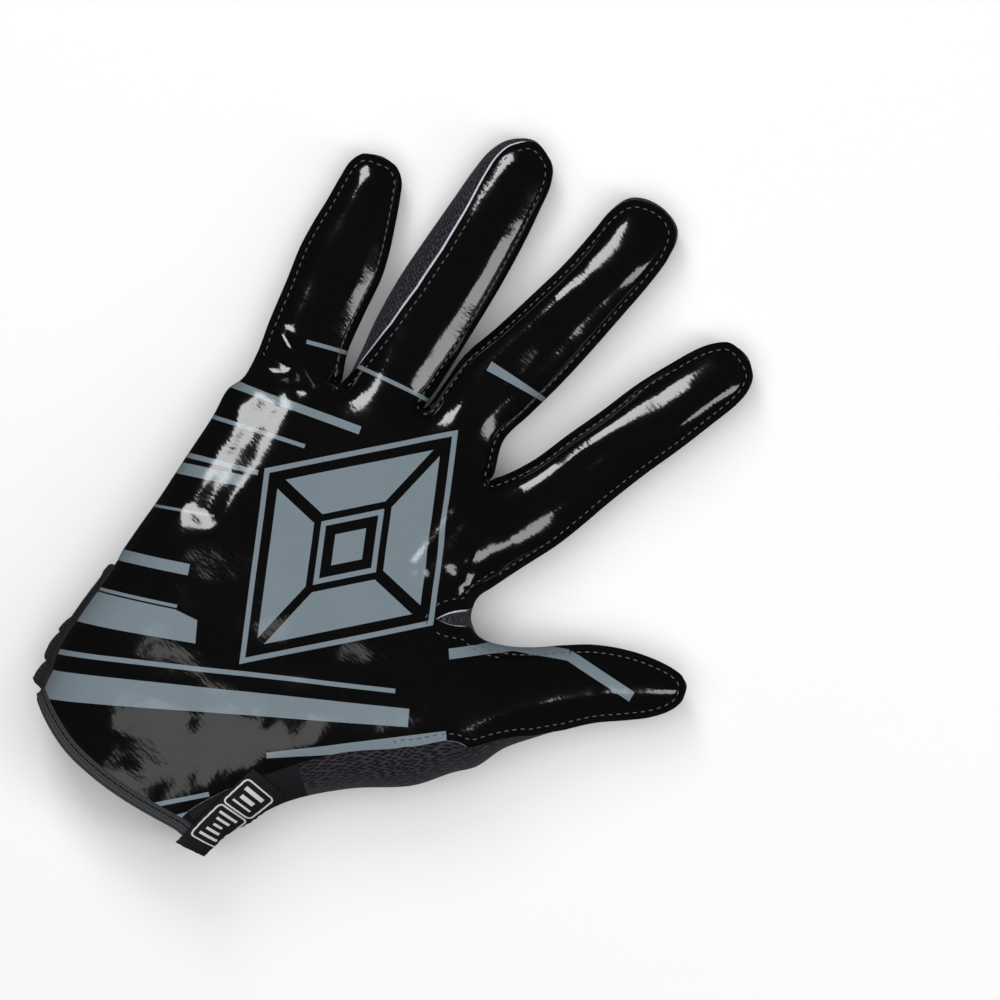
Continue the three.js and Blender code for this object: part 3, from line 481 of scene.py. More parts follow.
def cuff_edge(x, palm_side):
    """The palm side of the cuff bulges towards the wrist, the back is straight."""
    x = np.asarray(x, float)
    if not palm_side:
        return np.zeros_like(x)
    middle = -0.07 * PALM_WIDTH
    half = np.where(x < middle, 0.227, 0.35) * PALM_WIDTH
    u = np.clip((x - middle) / half, -1, 1)
    return -HEM_BULGE * (1 - u * u) ** 1.2


def surface(xy, height):
    """Points on a height function and their unit normals."""
    step = 0.05
    z = height(xy)
    gx = (height(xy + [step, 0]) - z) / step
    gy = (height(xy + [0, step]) - z) / step
    normal = np.column_stack([-gx, -gy, np.ones(len(xy))])
    normal /= np.linalg.norm(normal, axis=1)[:, None]
    return np.column_stack([xy, z]), normal


def place(points):
    return (np.asarray(points) + SHIFT) * 0.001


def make_piece(name, points, faces, materials, face_material=None, loop_normals=None, uv=None):
    """A mesh object from millimetre points; faces are index tuples."""
    mesh = bpy.data.meshes.new(name)
    mesh.from_pydata(place(points).tolist(), [], [tuple(map(int, f)) for f in faces])
    for material in materials:
        mesh.materials.append(material)
    if face_material is not None:
        mesh.polygons.foreach_set("material_index", np.asarray(face_material, np.int32))
    mesh.polygons.foreach_set("use_smooth", np.ones(len(faces), bool))
    if uv is not None:
        layer = mesh.uv_layers.new(name="cloth_mm")
        corners = np.concatenate([np.asarray(f, int) for f in faces])
        layer.data.foreach_set("uv", np.asarray(uv, np.float32)[corners].ravel())
    if loop_normals is not None:
        mesh.normals_split_custom_set(loop_normals.tolist())
    mesh.update()
    piece = bpy.data.objects.new(name, mesh)
    bpy.context.collection.objects.link(piece)
    return piece


def dress(piece, slot, *nodes):
    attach(piece, "root")
    if nodes:
        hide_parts(*nodes)


def inside_polygon(xy, polygon):
    x, y = xy[:, 0, None], xy[:, 1, None]
    a, b = polygon, np.roll(polygon, -1, axis=0)
    straddles = (a[:, 1] > y) != (b[:, 1] > y)
    with np.errstate(divide="ignore", invalid="ignore"):
        cut = (b[:, 0] - a[:, 0]) * (y - a[:, 1]) / (b[:, 1] - a[:, 1]) + a[:, 0]
    return (straddles & (x < cut)).sum(axis=1) % 2 == 1


def distance_to_points(xy, targets):
    out = np.empty(len(xy))
    for start in range(0, len(xy), 4000):
        part = xy[start:start + 4000]
        gap = ((part[:, None, 0] - targets[None, :, 0]) ** 2
               + (part[:, None, 1] - targets[None, :, 1]) ** 2)
        out[start:start + 4000] = np.sqrt(gap.min(axis=1))
    return out


def subdivide(polygon, step, closed=True):
    points = []
    count = len(polygon)
    for i in range(count if closed else count - 1):
        a, b = np.asarray(polygon[i], float), np.asarray(polygon[(i + 1) % count], float)
        n = max(1, int(round(np.linalg.norm(b - a) / step)))
        points += [a + (b - a) * k / n for k in range(n)]
    if not closed:
        points.append(np.asarray(polygon[-1], float))
    return np.array(points)


def edge_normals(polygon):
    """Unit normals into a closed polygon whose points run anticlockwise."""
    t = np.roll(polygon, -1, axis=0) - np.roll(polygon, 1, axis=0)
    n = np.column_stack([-t[:, 1], t[:, 0]])
    return n / np.linalg.norm(n, axis=1)[:, None]


def film_inset(seam):
    """The film laps over the side mesh, and reaches the silhouette where its seam is close."""
    return seam - 0.2 - 0.7 * np.clip((2.5 - seam) / 1.1, 0, 1)


def seam_polygon(palm_side, hem):
    """The panel's edge: in from the outline by the seam inset, closed along the hem."""
    web = TIP_S["web"] + np.array([-1.6, -1.2, -0.8, -0.4, 0.0, 0.4, 0.8, 1.2, 1.6])
    s = np.arange(0, CURVE_S[-1], 1.1)
    s = np.sort(np.concatenate([s[np.abs(s - TIP_S["web"]) > 2.0], web]))
    p, normal, seam = outline_at(s)
    inset = film_inset(seam) if palm_side else np.full(len(s), BACK_SEAM_INSET - 0.1)
    if palm_side:
        beside_strap = np.clip((p[:, 1] - 3) / 5, 0, 1) * np.clip((47 - p[:, 1]) / 6, 0, 1)
        inset = inset + STRAP_FILM_INSET * beside_strap * (p[:, 0] < 0)
    edge = p + normal * inset[:, None]
    keep = p[:, 1] > hem + 1.0
    first, last = np.argmax(keep), len(keep) - 1 - np.argmax(keep[::-1])
    edge = edge[first:last + 1]
    x0, x1 = edge[0, 0], edge[-1, 0]
    xs = np.linspace(x1, x0, max(3, int(abs(x1 - x0) / 1.2)))
    bottom = np.column_stack([xs, cuff_edge(xs, palm_side) + hem])
    return np.vstack([edge, bottom])[::-1]


def triangulate(polygon, step, rings=(), figures=()):
    """Triangles over a polygon; figures are printed shapes whose edges are kept."""
    lows, highs = polygon.min(axis=0), polygon.max(axis=0)
    rise = step * math.sqrt(3) / 2
    rows = []
    for k, y in enumerate(np.arange(lows[1], highs[1], rise)):
        xs = np.arange(lows[0] + (k % 2) * step / 2, highs[0], step)
        rows.append(np.column_stack([xs, np.full(len(xs), y)]))
    grid = np.vstack(rows)
    grid = grid[inside_polygon(grid, polygon)]
    border = subdivide(polygon, 0.8)
    margin = (max(rings) if rings else 0.0) + 0.6 * step
    grid = grid[distance_to_points(grid, border) > margin]
    normal = edge_normals(polygon)
    loops = []
    for offset in rings:
        ring = polygon + normal * offset
        ring = ring[inside_polygon(ring, polygon)]
        loops.append(ring[distance_to_points(ring, border) > 0.86 * offset])
    outlines = [subdivide(f, step) for f in figures]
    free = np.vstack([grid, *loops])
    if outlines:
        free = free[distance_to_points(free, np.vstack([subdivide(f, 0.5) for f in figures])) > 0.42]
    points = [polygon] + outlines + [free]
    coords = np.vstack(points)
    faces = []
    start = 0
    for shape in [polygon] + outlines:
        faces.append(list(range(start, start + len(shape))))
        start += len(shape)
    result = geometry.delaunay_2d_cdt([Vector(c) for c in coords], [], faces, 1, 1e-4, True)
    verts, _, tris, _, _, origin = result
    keep = [i for i, o in enumerate(origin) if 0 in o]
    xy = np.array([tuple(v) for v in verts])
    tri = np.array([tris[i] for i in keep])
    printed = np.array([len(origin[i]) > 1 for i in keep])
    area = np.cross(xy[tri[:, 1]] - xy[tri[:, 0]], xy[tri[:, 2]] - xy[tri[:, 0]])
    tri[area < 0] = tri[area < 0][:, ::-1]
    used, compact = np.unique(tri, return_inverse=True)
    return xy[used], compact.reshape(tri.shape), printed


def open_edges(tri):
    """Directed border edges of a triangle set."""
    edges = np.vstack([tri[:, [0, 1]], tri[:, [1, 2]], tri[:, [2, 0]]])
    seen = {tuple(e) for e in edges.tolist()}
    return np.array([e for e in edges.tolist() if (e[1], e[0]) not in seen])


def cloth_panel(name, xy, tri, printed, height, outer, inner, materials, edge_drop=0.0, splay=0.0):
    """A panel of cloth between two offsets from a height function, with a cut rim."""
    points, normal = surface(xy, height)
    front = points + normal * (outer + np.asarray(edge_drop).reshape(-1, 1))
    wide, wide_normal = surface(xy + splay, height)
    rear = wide + wide_normal * (inner + np.asarray(edge_drop).reshape(-1, 1))
    count = len(xy)
    rim = open_edges(tri)
    outward_first = outer > inner
    faces, mats, normals = [], [], []
    face_up = tri if outward_first else tri[:, ::-1]
    face_down = (tri[:, ::-1] if outward_first else tri) + count
    sign = 1.0 if outward_first else -1.0
    faces += face_up.tolist() + face_down.tolist()
    mats += np.where(printed, 1, 0).tolist() + [2] * len(tri)
    normals.append(sign * normal[face_up.ravel()])
    normals.append(-sign * normal[(face_down - count).ravel()])
    quads = np.column_stack([rim[:, 1], rim[:, 0], rim[:, 0] + count, rim[:, 1] + count])
    if not outward_first:
        quads = quads[:, ::-1]
    both = np.vstack([front, rear])
    across = np.cross(both[quads[:, 1]] - both[quads[:, 0]], both[quads[:, 3]] - both[quads[:, 0]])
    across /= np.maximum(np.linalg.norm(across, axis=1), 1e-9)[:, None]
    normals.append(np.repeat(across, 4, axis=0))
    faces += quads.tolist()
    mats += [3] * len(quads)
    uv = np.vstack([xy, xy])
    return make_piece(name, both, faces, materials, mats, np.vstack(normals), uv)


def grid_normals(grid):
    """Unit normals of a grid of points."""
    out = np.cross(np.gradient(grid, axis=0), np.gradient(grid, axis=1))
    return out / np.maximum(np.linalg.norm(out, axis=2), 1e-9)[:, :, None]


def tube_faces(rows, cols, inside_out=False):
    """Faces of rows of rings with cols points each, and of the two ends."""
    faces = []
    for i in range(rows - 1):
        for j in range(cols):
            a, b = i * cols + j, i * cols + (j + 1) % cols
            faces.append((a, a + cols, b + cols, b) if inside_out else (a, b, b + cols, a + cols))
    first, last = range(cols), range((rows - 1) * cols, rows * cols)
    ends = (first, last[::-1]) if inside_out else (first[::-1], last)
    return faces + [tuple(end) for end in ends]


# Materials


def new_material(name):
    material = bpy.data.materials.new(name)
    material.use_nodes = True
    tree = material.node_tree
    return material, tree, tree.nodes["Principled BSDF"]


def add(tree, kind, **values):
    node = tree.nodes.new(kind)
    for key, value in values.items():
        if key in node.inputs:
            node.inputs[key].default_value = value
        else:
            setattr(node, key, value)
    return node


def ramp(tree, source, stops):
    node = add(tree, "ShaderNodeValToRGB")
    tree.links.new(source, node.inputs["Fac"])
    elements = node.color_ramp.elements
    while len(elements) < len(stops):
        elements.new(0.5)
    for element, (position, colour) in zip(elements, stops):
        element.position = position
        element.color = (*colour, 1)
    return node.outputs["Color"]


def bump(tree, shader, height, strength, distance_mm, before=None):
    node = add(tree, "ShaderNodeBump", Strength=strength, Distance=distance_mm * 0.001)
    tree.links.new(height, node.inputs["Height"])
    if before is not None:
        tree.links.new(before, node.inputs["Normal"])
    tree.links.new(node.outputs["Normal"], shader.inputs["Normal"])
    return node.outputs["Normal"]


def object_coords(tree, scale, squeeze=(1, 1, 1)):
    """Object coordinates in millimetres, times a scale along each axis."""
    coords = add(tree, "ShaderNodeTexCoord")
    mapping = add(tree, "ShaderNodeMapping")
    mapping.inputs["Scale"].default_value = [1000 * scale * k for k in squeeze]
    tree.links.new(coords.outputs["Object"], mapping.inputs["Vector"])
    return mapping.outputs["Vector"]


def cloth_coords(tree, scale_u, scale_v, turn=0.0):
    coords = add(tree, "ShaderNodeUVMap", uv_map="cloth_mm")
    mapping = add(tree, "ShaderNodeMapping")
    mapping.inputs["Rotation"].default_value = (0, 0, math.radians(turn))
    mapping.inputs["Scale"].default_value = (scale_u, scale_v, 1)
    tree.links.new(coords.outputs["UV"], mapping.inputs["Vector"])
    return mapping.outputs["Vector"]


def noise_height(tree, vector, scale, detail=2.0, rough=0.5):
    node = add(tree, "ShaderNodeTexNoise", Scale=scale, Detail=detail, Roughness=rough)
    tree.links.new(vector, node.inputs["Vector"])
    return node.outputs["Fac"]


def grip_material(name, dark, light, roughness):
    """Glossy silicone film: fine drawn wrinkles break up the edges of its highlights."""
    material, tree, shader = new_material(name)
    shader.inputs["IOR"].default_value = 1.5
    shader.inputs["Specular IOR Level"].default_value = 0.85
    vector = object_coords(tree, 1.0)
    speckle = noise_height(tree, vector, 2.6, 3.0, 0.7)
    tree.links.new(ramp(tree, speckle, [(0.38, dark), (0.66, light)]), shader.inputs["Base Color"])
    wear = noise_height(tree, object_coords(tree, 0.09), 1.0, 3.0)
    gloss = add(tree, "ShaderNodeMapRange")
    gloss.inputs["To Min"].default_value = roughness - 0.03
    gloss.inputs["To Max"].default_value = roughness + 0.05
    tree.links.new(wear, gloss.inputs["Value"])
    tree.links.new(gloss.outputs["Result"], shader.inputs["Roughness"])
    first = bump(tree, shader, noise_height(tree, object_coords(tree, 0.10), 1.0, 2.0), 0.5, 0.25)
    comb = noise_height(tree, object_coords(tree, 1.0, (0.55, 1.5, 1.0)), 0.8, 1.0, 0.5)
    bump(tree, shader, comb, 0.6, 0.045, first)
    return material


def mesh_material(name, dark, light, across, along, turn):
    """Knitted mesh: slanted rows of small openings, dark in the holes and lighter on the yarn."""
    material, tree, shader = new_material(name)
    shader.inputs["Roughness"].default_value = 0.85
    shader.inputs["Specular IOR Level"].default_value = 0.25
    shader.inputs["Sheen Weight"].default_value = 0.04
    shader.inputs["Sheen Roughness"].default_value = 0.5
    vector = cloth_coords(tree, 1 / along, 1 / across, turn)
    cells = add(tree, "ShaderNodeTexVoronoi", feature="F1", voronoi_dimensions="2D", Scale=1.0,
                Randomness=0.5)
    tree.links.new(vector, cells.inputs["Vector"])
    yarn = noise_height(tree, cloth_coords(tree, 1.0, 1.0, turn), 2.4, 2.0, 0.6)
    both = add(tree, "ShaderNodeMath", operation="MULTIPLY_ADD")
    tree.links.new(yarn, both.inputs[0])
    both.inputs[1].default_value = 0.55
    tree.links.new(cells.outputs["Distance"], both.inputs[2])
    height = both.outputs["Value"]
    stops = [(0.40, dark), (0.62, [0.38 * c for c in light]), (0.90, light)]
    tree.links.new(ramp(tree, height, stops), shader.inputs["Base Color"])
    first = bump(tree, shader, noise_height(tree, object_coords(tree, 0.2), 1.0), 0.3, 0.4)
    bump(tree, shader, height, 0.8, 0.30, first)
    return material


def woven_material(name, dark, light, pitch_u, pitch_v, roughness, depth=0.12):
    """Plain woven or ribbed tape: crossed ribs along and across the cloth."""
    material, tree, shader = new_material(name)
    shader.inputs["Roughness"].default_value = roughness
    shader.inputs["Specular IOR Level"].default_value = 0.35
    heights = []
    for vector in (cloth_coords(tree, 1 / pitch_u, 0.001), cloth_coords(tree, 0.001, 1 / pitch_v)):
        wave = add(tree, "ShaderNodeTexWave", Scale=0.5, bands_direction="DIAGONAL")
        tree.links.new(vector, wave.inputs["Vector"])
        heights.append(wave.outputs["Fac"])
    both = add(tree, "ShaderNodeMath", operation="MULTIPLY")
    tree.links.new(heights[0], both.inputs[0])
    tree.links.new(heights[1], both.inputs[1])
    tree.links.new(ramp(tree, both.outputs["Value"], [(0.1, dark), (0.9, light)]),
                   shader.inputs["Base Color"])
    bump(tree, shader, both.outputs["Value"], 0.8, depth)
    return material


GRIP = grip_material("grip_film", (0.0016, 0.0016, 0.0017), (0.0032, 0.0032, 0.0034), 0.09)
PRINT = grip_material("grip_print", (0.147, 0.186, 0.211), (0.170, 0.214, 0.242), 0.17)
# The film's cut edge is painted near-white: a painted highlight along the black film's rim.
FILM_EDGE_HIGHLIGHT = woven_material("film_cut_edge_painted_highlight", (0.74, 0.71, 0.80), (0.92, 0.89, 0.97),
                           0.8, 0.8, 0.6, 0.05)
FILM_BACKING = woven_material("film_backing", (0.010, 0.010, 0.011), (0.025, 0.025, 0.028),
                              0.9, 0.9, 0.9)
MESH = mesh_material("side_mesh", (0.0006, 0.0005, 0.0008), (0.044, 0.040, 0.054), 1.0, 1.15, 28)
BACK_MESH = mesh_material("back_mesh", (0.0006, 0.0005, 0.0008), (0.042, 0.038, 0.050), 1.1, 1.8, 35)
THUMB_MESH = mesh_material("thumb_mesh", (0.0005, 0.0005, 0.0007), (0.036, 0.031, 0.042), 0.95, 2.3, 38)
KNIT = woven_material("wrist_knit", (0.006, 0.0055, 0.007), (0.020, 0.018, 0.023), 0.5, 0.62, 0.8)
BINDING = woven_material("edge_binding", (0.024, 0.026, 0.028), (0.062, 0.065, 0.070), 0.9, 0.7, 0.75)
# Painted shade for the stitch groove of the cuff tape, darker than the tape; the thread in it is dark
# too.
BINDING_GROOVE_SHADE = woven_material("binding_groove_painted_shade", (0.003, 0.003, 0.003), (0.010, 0.010, 0.011),
                              0.9, 0.7, 0.8)
RUBBER = woven_material("strap_rubber", (0.014, 0.0135, 0.013), (0.038, 0.036, 0.035),
                        1.1, 0.8, 0.55, 0.06)
# Palm stitch thread: black thread painted lighter grey, standing for its glint.
THREAD = woven_material("thread", (0.06, 0.06, 0.064), (0.20, 0.20, 0.21), 0.3, 0.3, 0.5, 0.04)
DARK_THREAD = woven_material("dark_thread", (0.010, 0.010, 0.011), (0.045, 0.046, 0.048),
                             0.3, 0.3, 0.5, 0.04)
LABEL_CLOTH = woven_material("label_cloth", (0.004, 0.004, 0.005), (0.022, 0.022, 0.024),
                             0.35, 0.35, 0.75, 0.08)
LABEL_WHITE = woven_material("label_white", (0.48, 0.48, 0.50), (0.84, 0.84, 0.87),
                             0.35, 0.35, 0.7, 0.05)


# Palm film


def stripe_shapes():
    shapes = []
    for x0, y0, x1, y1, w0, w1 in STRIPES:
        a, b = np.array([x0, y0]), np.array([x1, y1])
        t = (b - a) / np.linalg.norm(b - a)
        n = np.array([-t[1], t[0]]) / 2
        shapes.append([a - n * w0, b - n * w1, b + n * w1, a + n * w0])
    return shapes + [[np.array(corner) for corner in reversed(WIDE_BAR)]]


def diamond_shapes():
    centre, half = np.array(DIAMOND_CENTRE), np.array(DIAMOND_HALF)
    corners = [np.array(c) * half for c in ((1, 0), (0, 1), (-1, 0), (0, -1))]
    shapes = []
    for outer, inner, gap in DIAMOND_RINGS:
        if inner == 0:
            shapes.append([centre + c * outer for c in corners])
            continue
        for i in range(4):
            a, b = corners[i], corners[(i + 1) % 4]
            shapes.append([
                centre + (a + (b - a) * gap) * outer,
                centre + (b + (a - b) * gap) * outer,
                centre + (b + (a - b) * gap * outer / inner) * inner,
                centre + (a + (b - a) * gap * outer / inner) * inner,
            ])
    return shapes


def palm_panel():
    polygon = seam_polygon(True, BINDING_WIDTH - 0.8)
    figures = stripe_shapes() + diamond_shapes()
    xy, tri, printed = triangulate(polygon, SURFACE_STEP, FILM_RINGS, figures)
    gap = distance_to_points(xy, subdivide(polygon, 0.4))
    groove = -GROOVE_DEPTH * np.exp(-((gap - STITCH_INSET) / GROOVE_WIDTH) ** 2)
    away = distance_to_points(xy, subdivide(CURVE, 0.4, closed=False))
    nearest = np.argmin(((xy[:, None] - polygon[None]) ** 2).sum(axis=2), axis=1)
    # The rim splays outward where the painted highlight of the cut edge should show.
    wide = CUT_EDGE_HIGHLIGHT_WIDTH * np.clip((away - 0.9) / 1.2, 0.15, 1) * (gap < 0.02)
    wide *= np.interp(xy[:, 1], *np.array(CUT_EDGE_HIGHLIGHT_SHARES).T)
    piece = cloth_panel("palm_film", xy, tri, printed, palm_height, FILM_LIFT + FILM_THICKNESS,
                        FILM_LIFT, [GRIP, PRINT, FILM_BACKING, FILM_EDGE_HIGHLIGHT], groove,
                        -edge_normals(polygon)[nearest] * wide[:, None])
    palm_stitching(polygon)
    dress(piece, "grip", "palm_panel")


def stitch_row(border, offset, keep, lift, phase=0.0):
    """Points and normals of a row of stitches, in from a panel's border by an offset."""
    inner = border + edge_normals(border) * offset
    gap = distance_to_points(inner, subdivide(border, 0.25))
    inner = inner[(gap > 0.96 * offset) & keep(inner)]
    run = run_lengths(inner)
    at = np.arange(phase, run[-1], STITCH_PITCH)
    xy = np.column_stack([np.interp(at, run, inner[:, 0]), np.interp(at, run, inner[:, 1])])
    clear = distance_to_points(xy, inner) < 1.5
    points, up = surface(xy[clear], palm_height)
    return points + up * lift, up


def capsule_rows(name, rows, radius, length, material):
    """Short rounded stitches joined into one mesh, each lying along its row."""
    sides, rings = 6, [(-0.5, 0.35), (-0.36, 0.9), (0.0, 1.0), (0.36, 0.9), (0.5, 0.35)]
    stitch = tube_faces(len(rings), sides)
    verts, faces, uvs = [], [], []
    for points, up in rows:
        ahead = np.gradient(points, axis=0)
        ahead /= np.linalg.norm(ahead, axis=1)[:, None]
        side = np.cross(up, ahead)
        side /= np.linalg.norm(side, axis=1)[:, None]
        for p, a, b, n in zip(points, ahead, side, up):
            base = len(verts)
            for along, share in rings:
                sink = 0.35 * radius * (abs(along) / 0.5) ** 2
                for k in range(sides):
                    angle = 2 * math.pi * k / sides
                    verts.append(p + a * along * length + b * math.cos(angle) * radius * share
                                 + n * (math.sin(angle) * radius * share - sink))
                    uvs.append((along * length, k * 0.2))
            faces += [tuple(base + k for k in face) for face in stitch]
    return make_piece(name, np.array(verts), faces, [material], uv=uvs)


def palm_stitching(polygon):
    """One row of stitches inside the film's edge, and a second round the web of the thumb."""
    lift = FILM_LIFT + FILM_THICKNESS - 0.12
    start = np.argmax(polygon[:, 1] == polygon[:, 1].max())
    border = np.roll(polygon, -start, axis=0)
    web, _, _ = outline_at([TIP_S["web"]])
    rows = [
        stitch_row(border, STITCH_INSET, lambda q: (q > STITCHED_FROM).any(axis=1), lift),
        stitch_row(border, STITCH_INSET + WEB_ROW_INSET,
                   lambda q: np.linalg.norm(q - web - WEB_ROW_CENTRE, axis=1) < WEB_ROW_REACH,
                   lift + 0.08, 0.9),
    ]
    # The palm's stitches use the thread painted lighter grey for its glint.
    piece = capsule_rows("palm_stitching", rows, STITCH_THICKNESS / 2, STITCH_LENGTH, THREAD)
    dress(piece, "grip")


# Side bands and fourchettes


def band(name, node, from_s, to_s, materials, change_s=None):
    """A strip round the edge of the hand, from under the palm seam to the back seam.

    At change_s the first cloth is sewn to the second one, in a sunk seam.
    """
    s = np.append(np.arange(from_s, to_s - 0.4, 1.0), to_s)
    p, normal, seam = outline_at(s)
    ts = np.concatenate([np.linspace(1, 0, 11), np.linspace(-0.12, -1, 8)])
    rows = []
    for t in ts:
        reach = (seam + 0.9) if t >= 0 else np.full(len(s), BACK_SEAM_INSET + 0.25)
        n = reach * t * t
        q = p + normal * n[:, None]
        z = palm_height(q) if t >= 0 else back_height(q)
        if change_s is not None:
            z = z - 0.5 * np.exp(-((s - change_s) / 0.7) ** 2) * (1 if t >= 0 else -1)
        rows.append(np.column_stack([q, z]))
    grid = np.stack(rows, axis=1)
    inner = grid - grid_normals(grid) * MESH_THICKNESS
    run = np.concatenate([np.zeros((len(s), 1)),
                          np.cumsum(np.linalg.norm(np.diff(grid, axis=1), axis=2), axis=1)], axis=1)
    cols = 2 * len(ts)
    ring = np.concatenate([grid, inner[:, ::-1]], axis=1)
    uv = np.concatenate([run, run[:, ::-1]], axis=1)
    uv = np.stack([np.repeat(s[:, None], cols, axis=1), uv], axis=2)
    count = len(s)
    faces = tube_faces(count, cols, True)
    second = [int(change_s is not None and s[i] > change_s)
              for i in range(count - 1) for _ in range(cols)]
    piece = make_piece(name, ring.reshape(-1, 3), faces, materials, second + [0, second[-1]],
                       uv=uv.reshape(-1, 2))
    dress(piece, "mesh", node)


def side_bands():
    low = CURVE_S[np.argmax(CURVE[:, 1] > BINDING_WIDTH - 0.6)]
    high = CURVE_S[len(CURVE) - 1 - np.argmax(CURVE[::-1, 1] > BINDING_WIDTH - 0.6)]
    half = 0.01
    starts = [low] + [TIP_S[digit[0]] + half for digit in DIGITS]
    ends = [TIP_S[digit[0]] - half for digit in DIGITS]
    for (name, node), start, end in zip(BANDS, starts, ends):
        band(name, node, start, end, [MESH])
    seam = CURVE_S[np.argmin(np.linalg.norm(CURVE - KNIT_SEAM, axis=1))]
    band("thumb_side_mesh", "thumb_side_band", starts[-1], high, [THUMB_MESH, KNIT], seam)


# Back of the glove


def back_panels():
    polygon = seam_polygon(False, -0.1)
    xy, tri, _ = triangulate(polygon, BACK_STEP, BACK_RINGS)
    middle = xy[tri].mean(axis=1)[:, 1]
    for name, node, slot, material, keep in (
        ("back_mesh_cloth", "back_panel", "mesh", BACK_MESH, middle > WRIST_BAND_LENGTH),
        ("wrist_knit_cloth", "wrist_band", "knit", KNIT, middle <= WRIST_BAND_LENGTH),
    ):
        part = tri[keep]
        used, compact = np.unique(part, return_inverse=True)
        compact = compact.reshape(part.shape)
        flat = np.zeros(len(part), bool)
        piece = cloth_panel(name, xy[used], compact, flat, back_height, 0.0, MESH_THICKNESS,
                            [material, material, FILM_BACKING, material])
        dress(piece, slot, node)


# Cuff


def silhouette_at(y):
    """Left and right edge of the hand at a height up the wrist."""
    half = len(CURVE) // 6
    left = np.interp(y, CURVE[:half, 1], CURVE[:half, 0])
    right = np.interp(y, CURVE[::-1][:half, 1], CURVE[::-1][:half, 0])
    return left, right


def cuff_ring(y_of, turns):
    """Points round the wrist tube at a run of heights, with outward normals."""
    c = np.cos(turns)
    palm = np.sin(turns) >= 0
    left, right = silhouette_at(np.maximum(y_of, 0.0))
    x = (left + right) / 2 + (right - left) / 2 * c
    y = np.where(palm, cuff_edge(x, True), cuff_edge(x, False)) + y_of
    xy = np.column_stack([x, y])
    z = np.where(palm, top_height(xy), back_height(xy))
    return np.column_stack([xy, z])


def cuff_points(along, turns, push):
    """Points and normals of a ring of the binding, over the film on its palm side."""
    base = cuff_ring(np.full(len(turns), along), turns)
    ahead = np.roll(base, -1, axis=0) - np.roll(base, 1, axis=0)
    out = np.cross(cuff_ring(np.full(len(turns), along + 0.1), turns) - base, ahead)
    out /= np.linalg.norm(out, axis=1)[:, None]
    over = np.clip((np.sin(turns) - 0.05) / 0.3, 0, 1)
    lift = 0.15 + (FILM_LIFT + FILM_THICKNESS - 0.15) * over * over * (3 - 2 * over)
    return base + out * (push + lift * (push > 0))[:, None], out


def cuff_binding():
    """Flat folded tape round the opening, with its row of stitches sunk in a groove."""
    turns = (np.arange(CUFF_STEPS) + 0.5) * 2 * math.pi / CUFF_STEPS
    grid = np.stack([cuff_points(along, turns, push)[0] for along, push in CUFF_PROFILE], axis=1)
    rows, cols = grid.shape[:2]
    v = np.cumsum([0] + [math.dist(a, b) for a, b in zip(CUFF_PROFILE, CUFF_PROFILE[1:])])
    uv = np.stack(np.meshgrid(v, run_lengths(grid[:, 2])), axis=2).reshape(-1, 2)
    faces = [(i * cols + j, i * cols + (j + 1) % cols,
              (i + 1) % rows * cols + (j + 1) % cols, (i + 1) % rows * cols + j)
             for i in range(rows) for j in range(cols)]
    # The groove's faces take the painted shade material.
    sunk = [int(j in CUFF_SHADED_GROOVE) for _ in range(rows) for j in range(cols)]
    piece = make_piece("cuff_tape", grid.reshape(-1, 3), faces, [BINDING, BINDING_GROOVE_SHADE], sunk, uv=uv)
    piece.data.flip_normals()
    dress(piece, "binding", "cuff_binding")
    points, up = cuff_points(2.6, turns, 0.16)
    length = run_lengths(points)
    at = np.arange(0.5, length[-1], CUFF_STITCH_PITCH)
    stitches = [np.column_stack([np.interp(at, length, c) for c in part.T]) for part in (points, up)]
    thread = capsule_rows("cuff_stitching", [stitches], CUFF_STITCH_THICKNESS / 2, STITCH_LENGTH,
                          DARK_THREAD)
    dress(thread, "binding")


# Strap


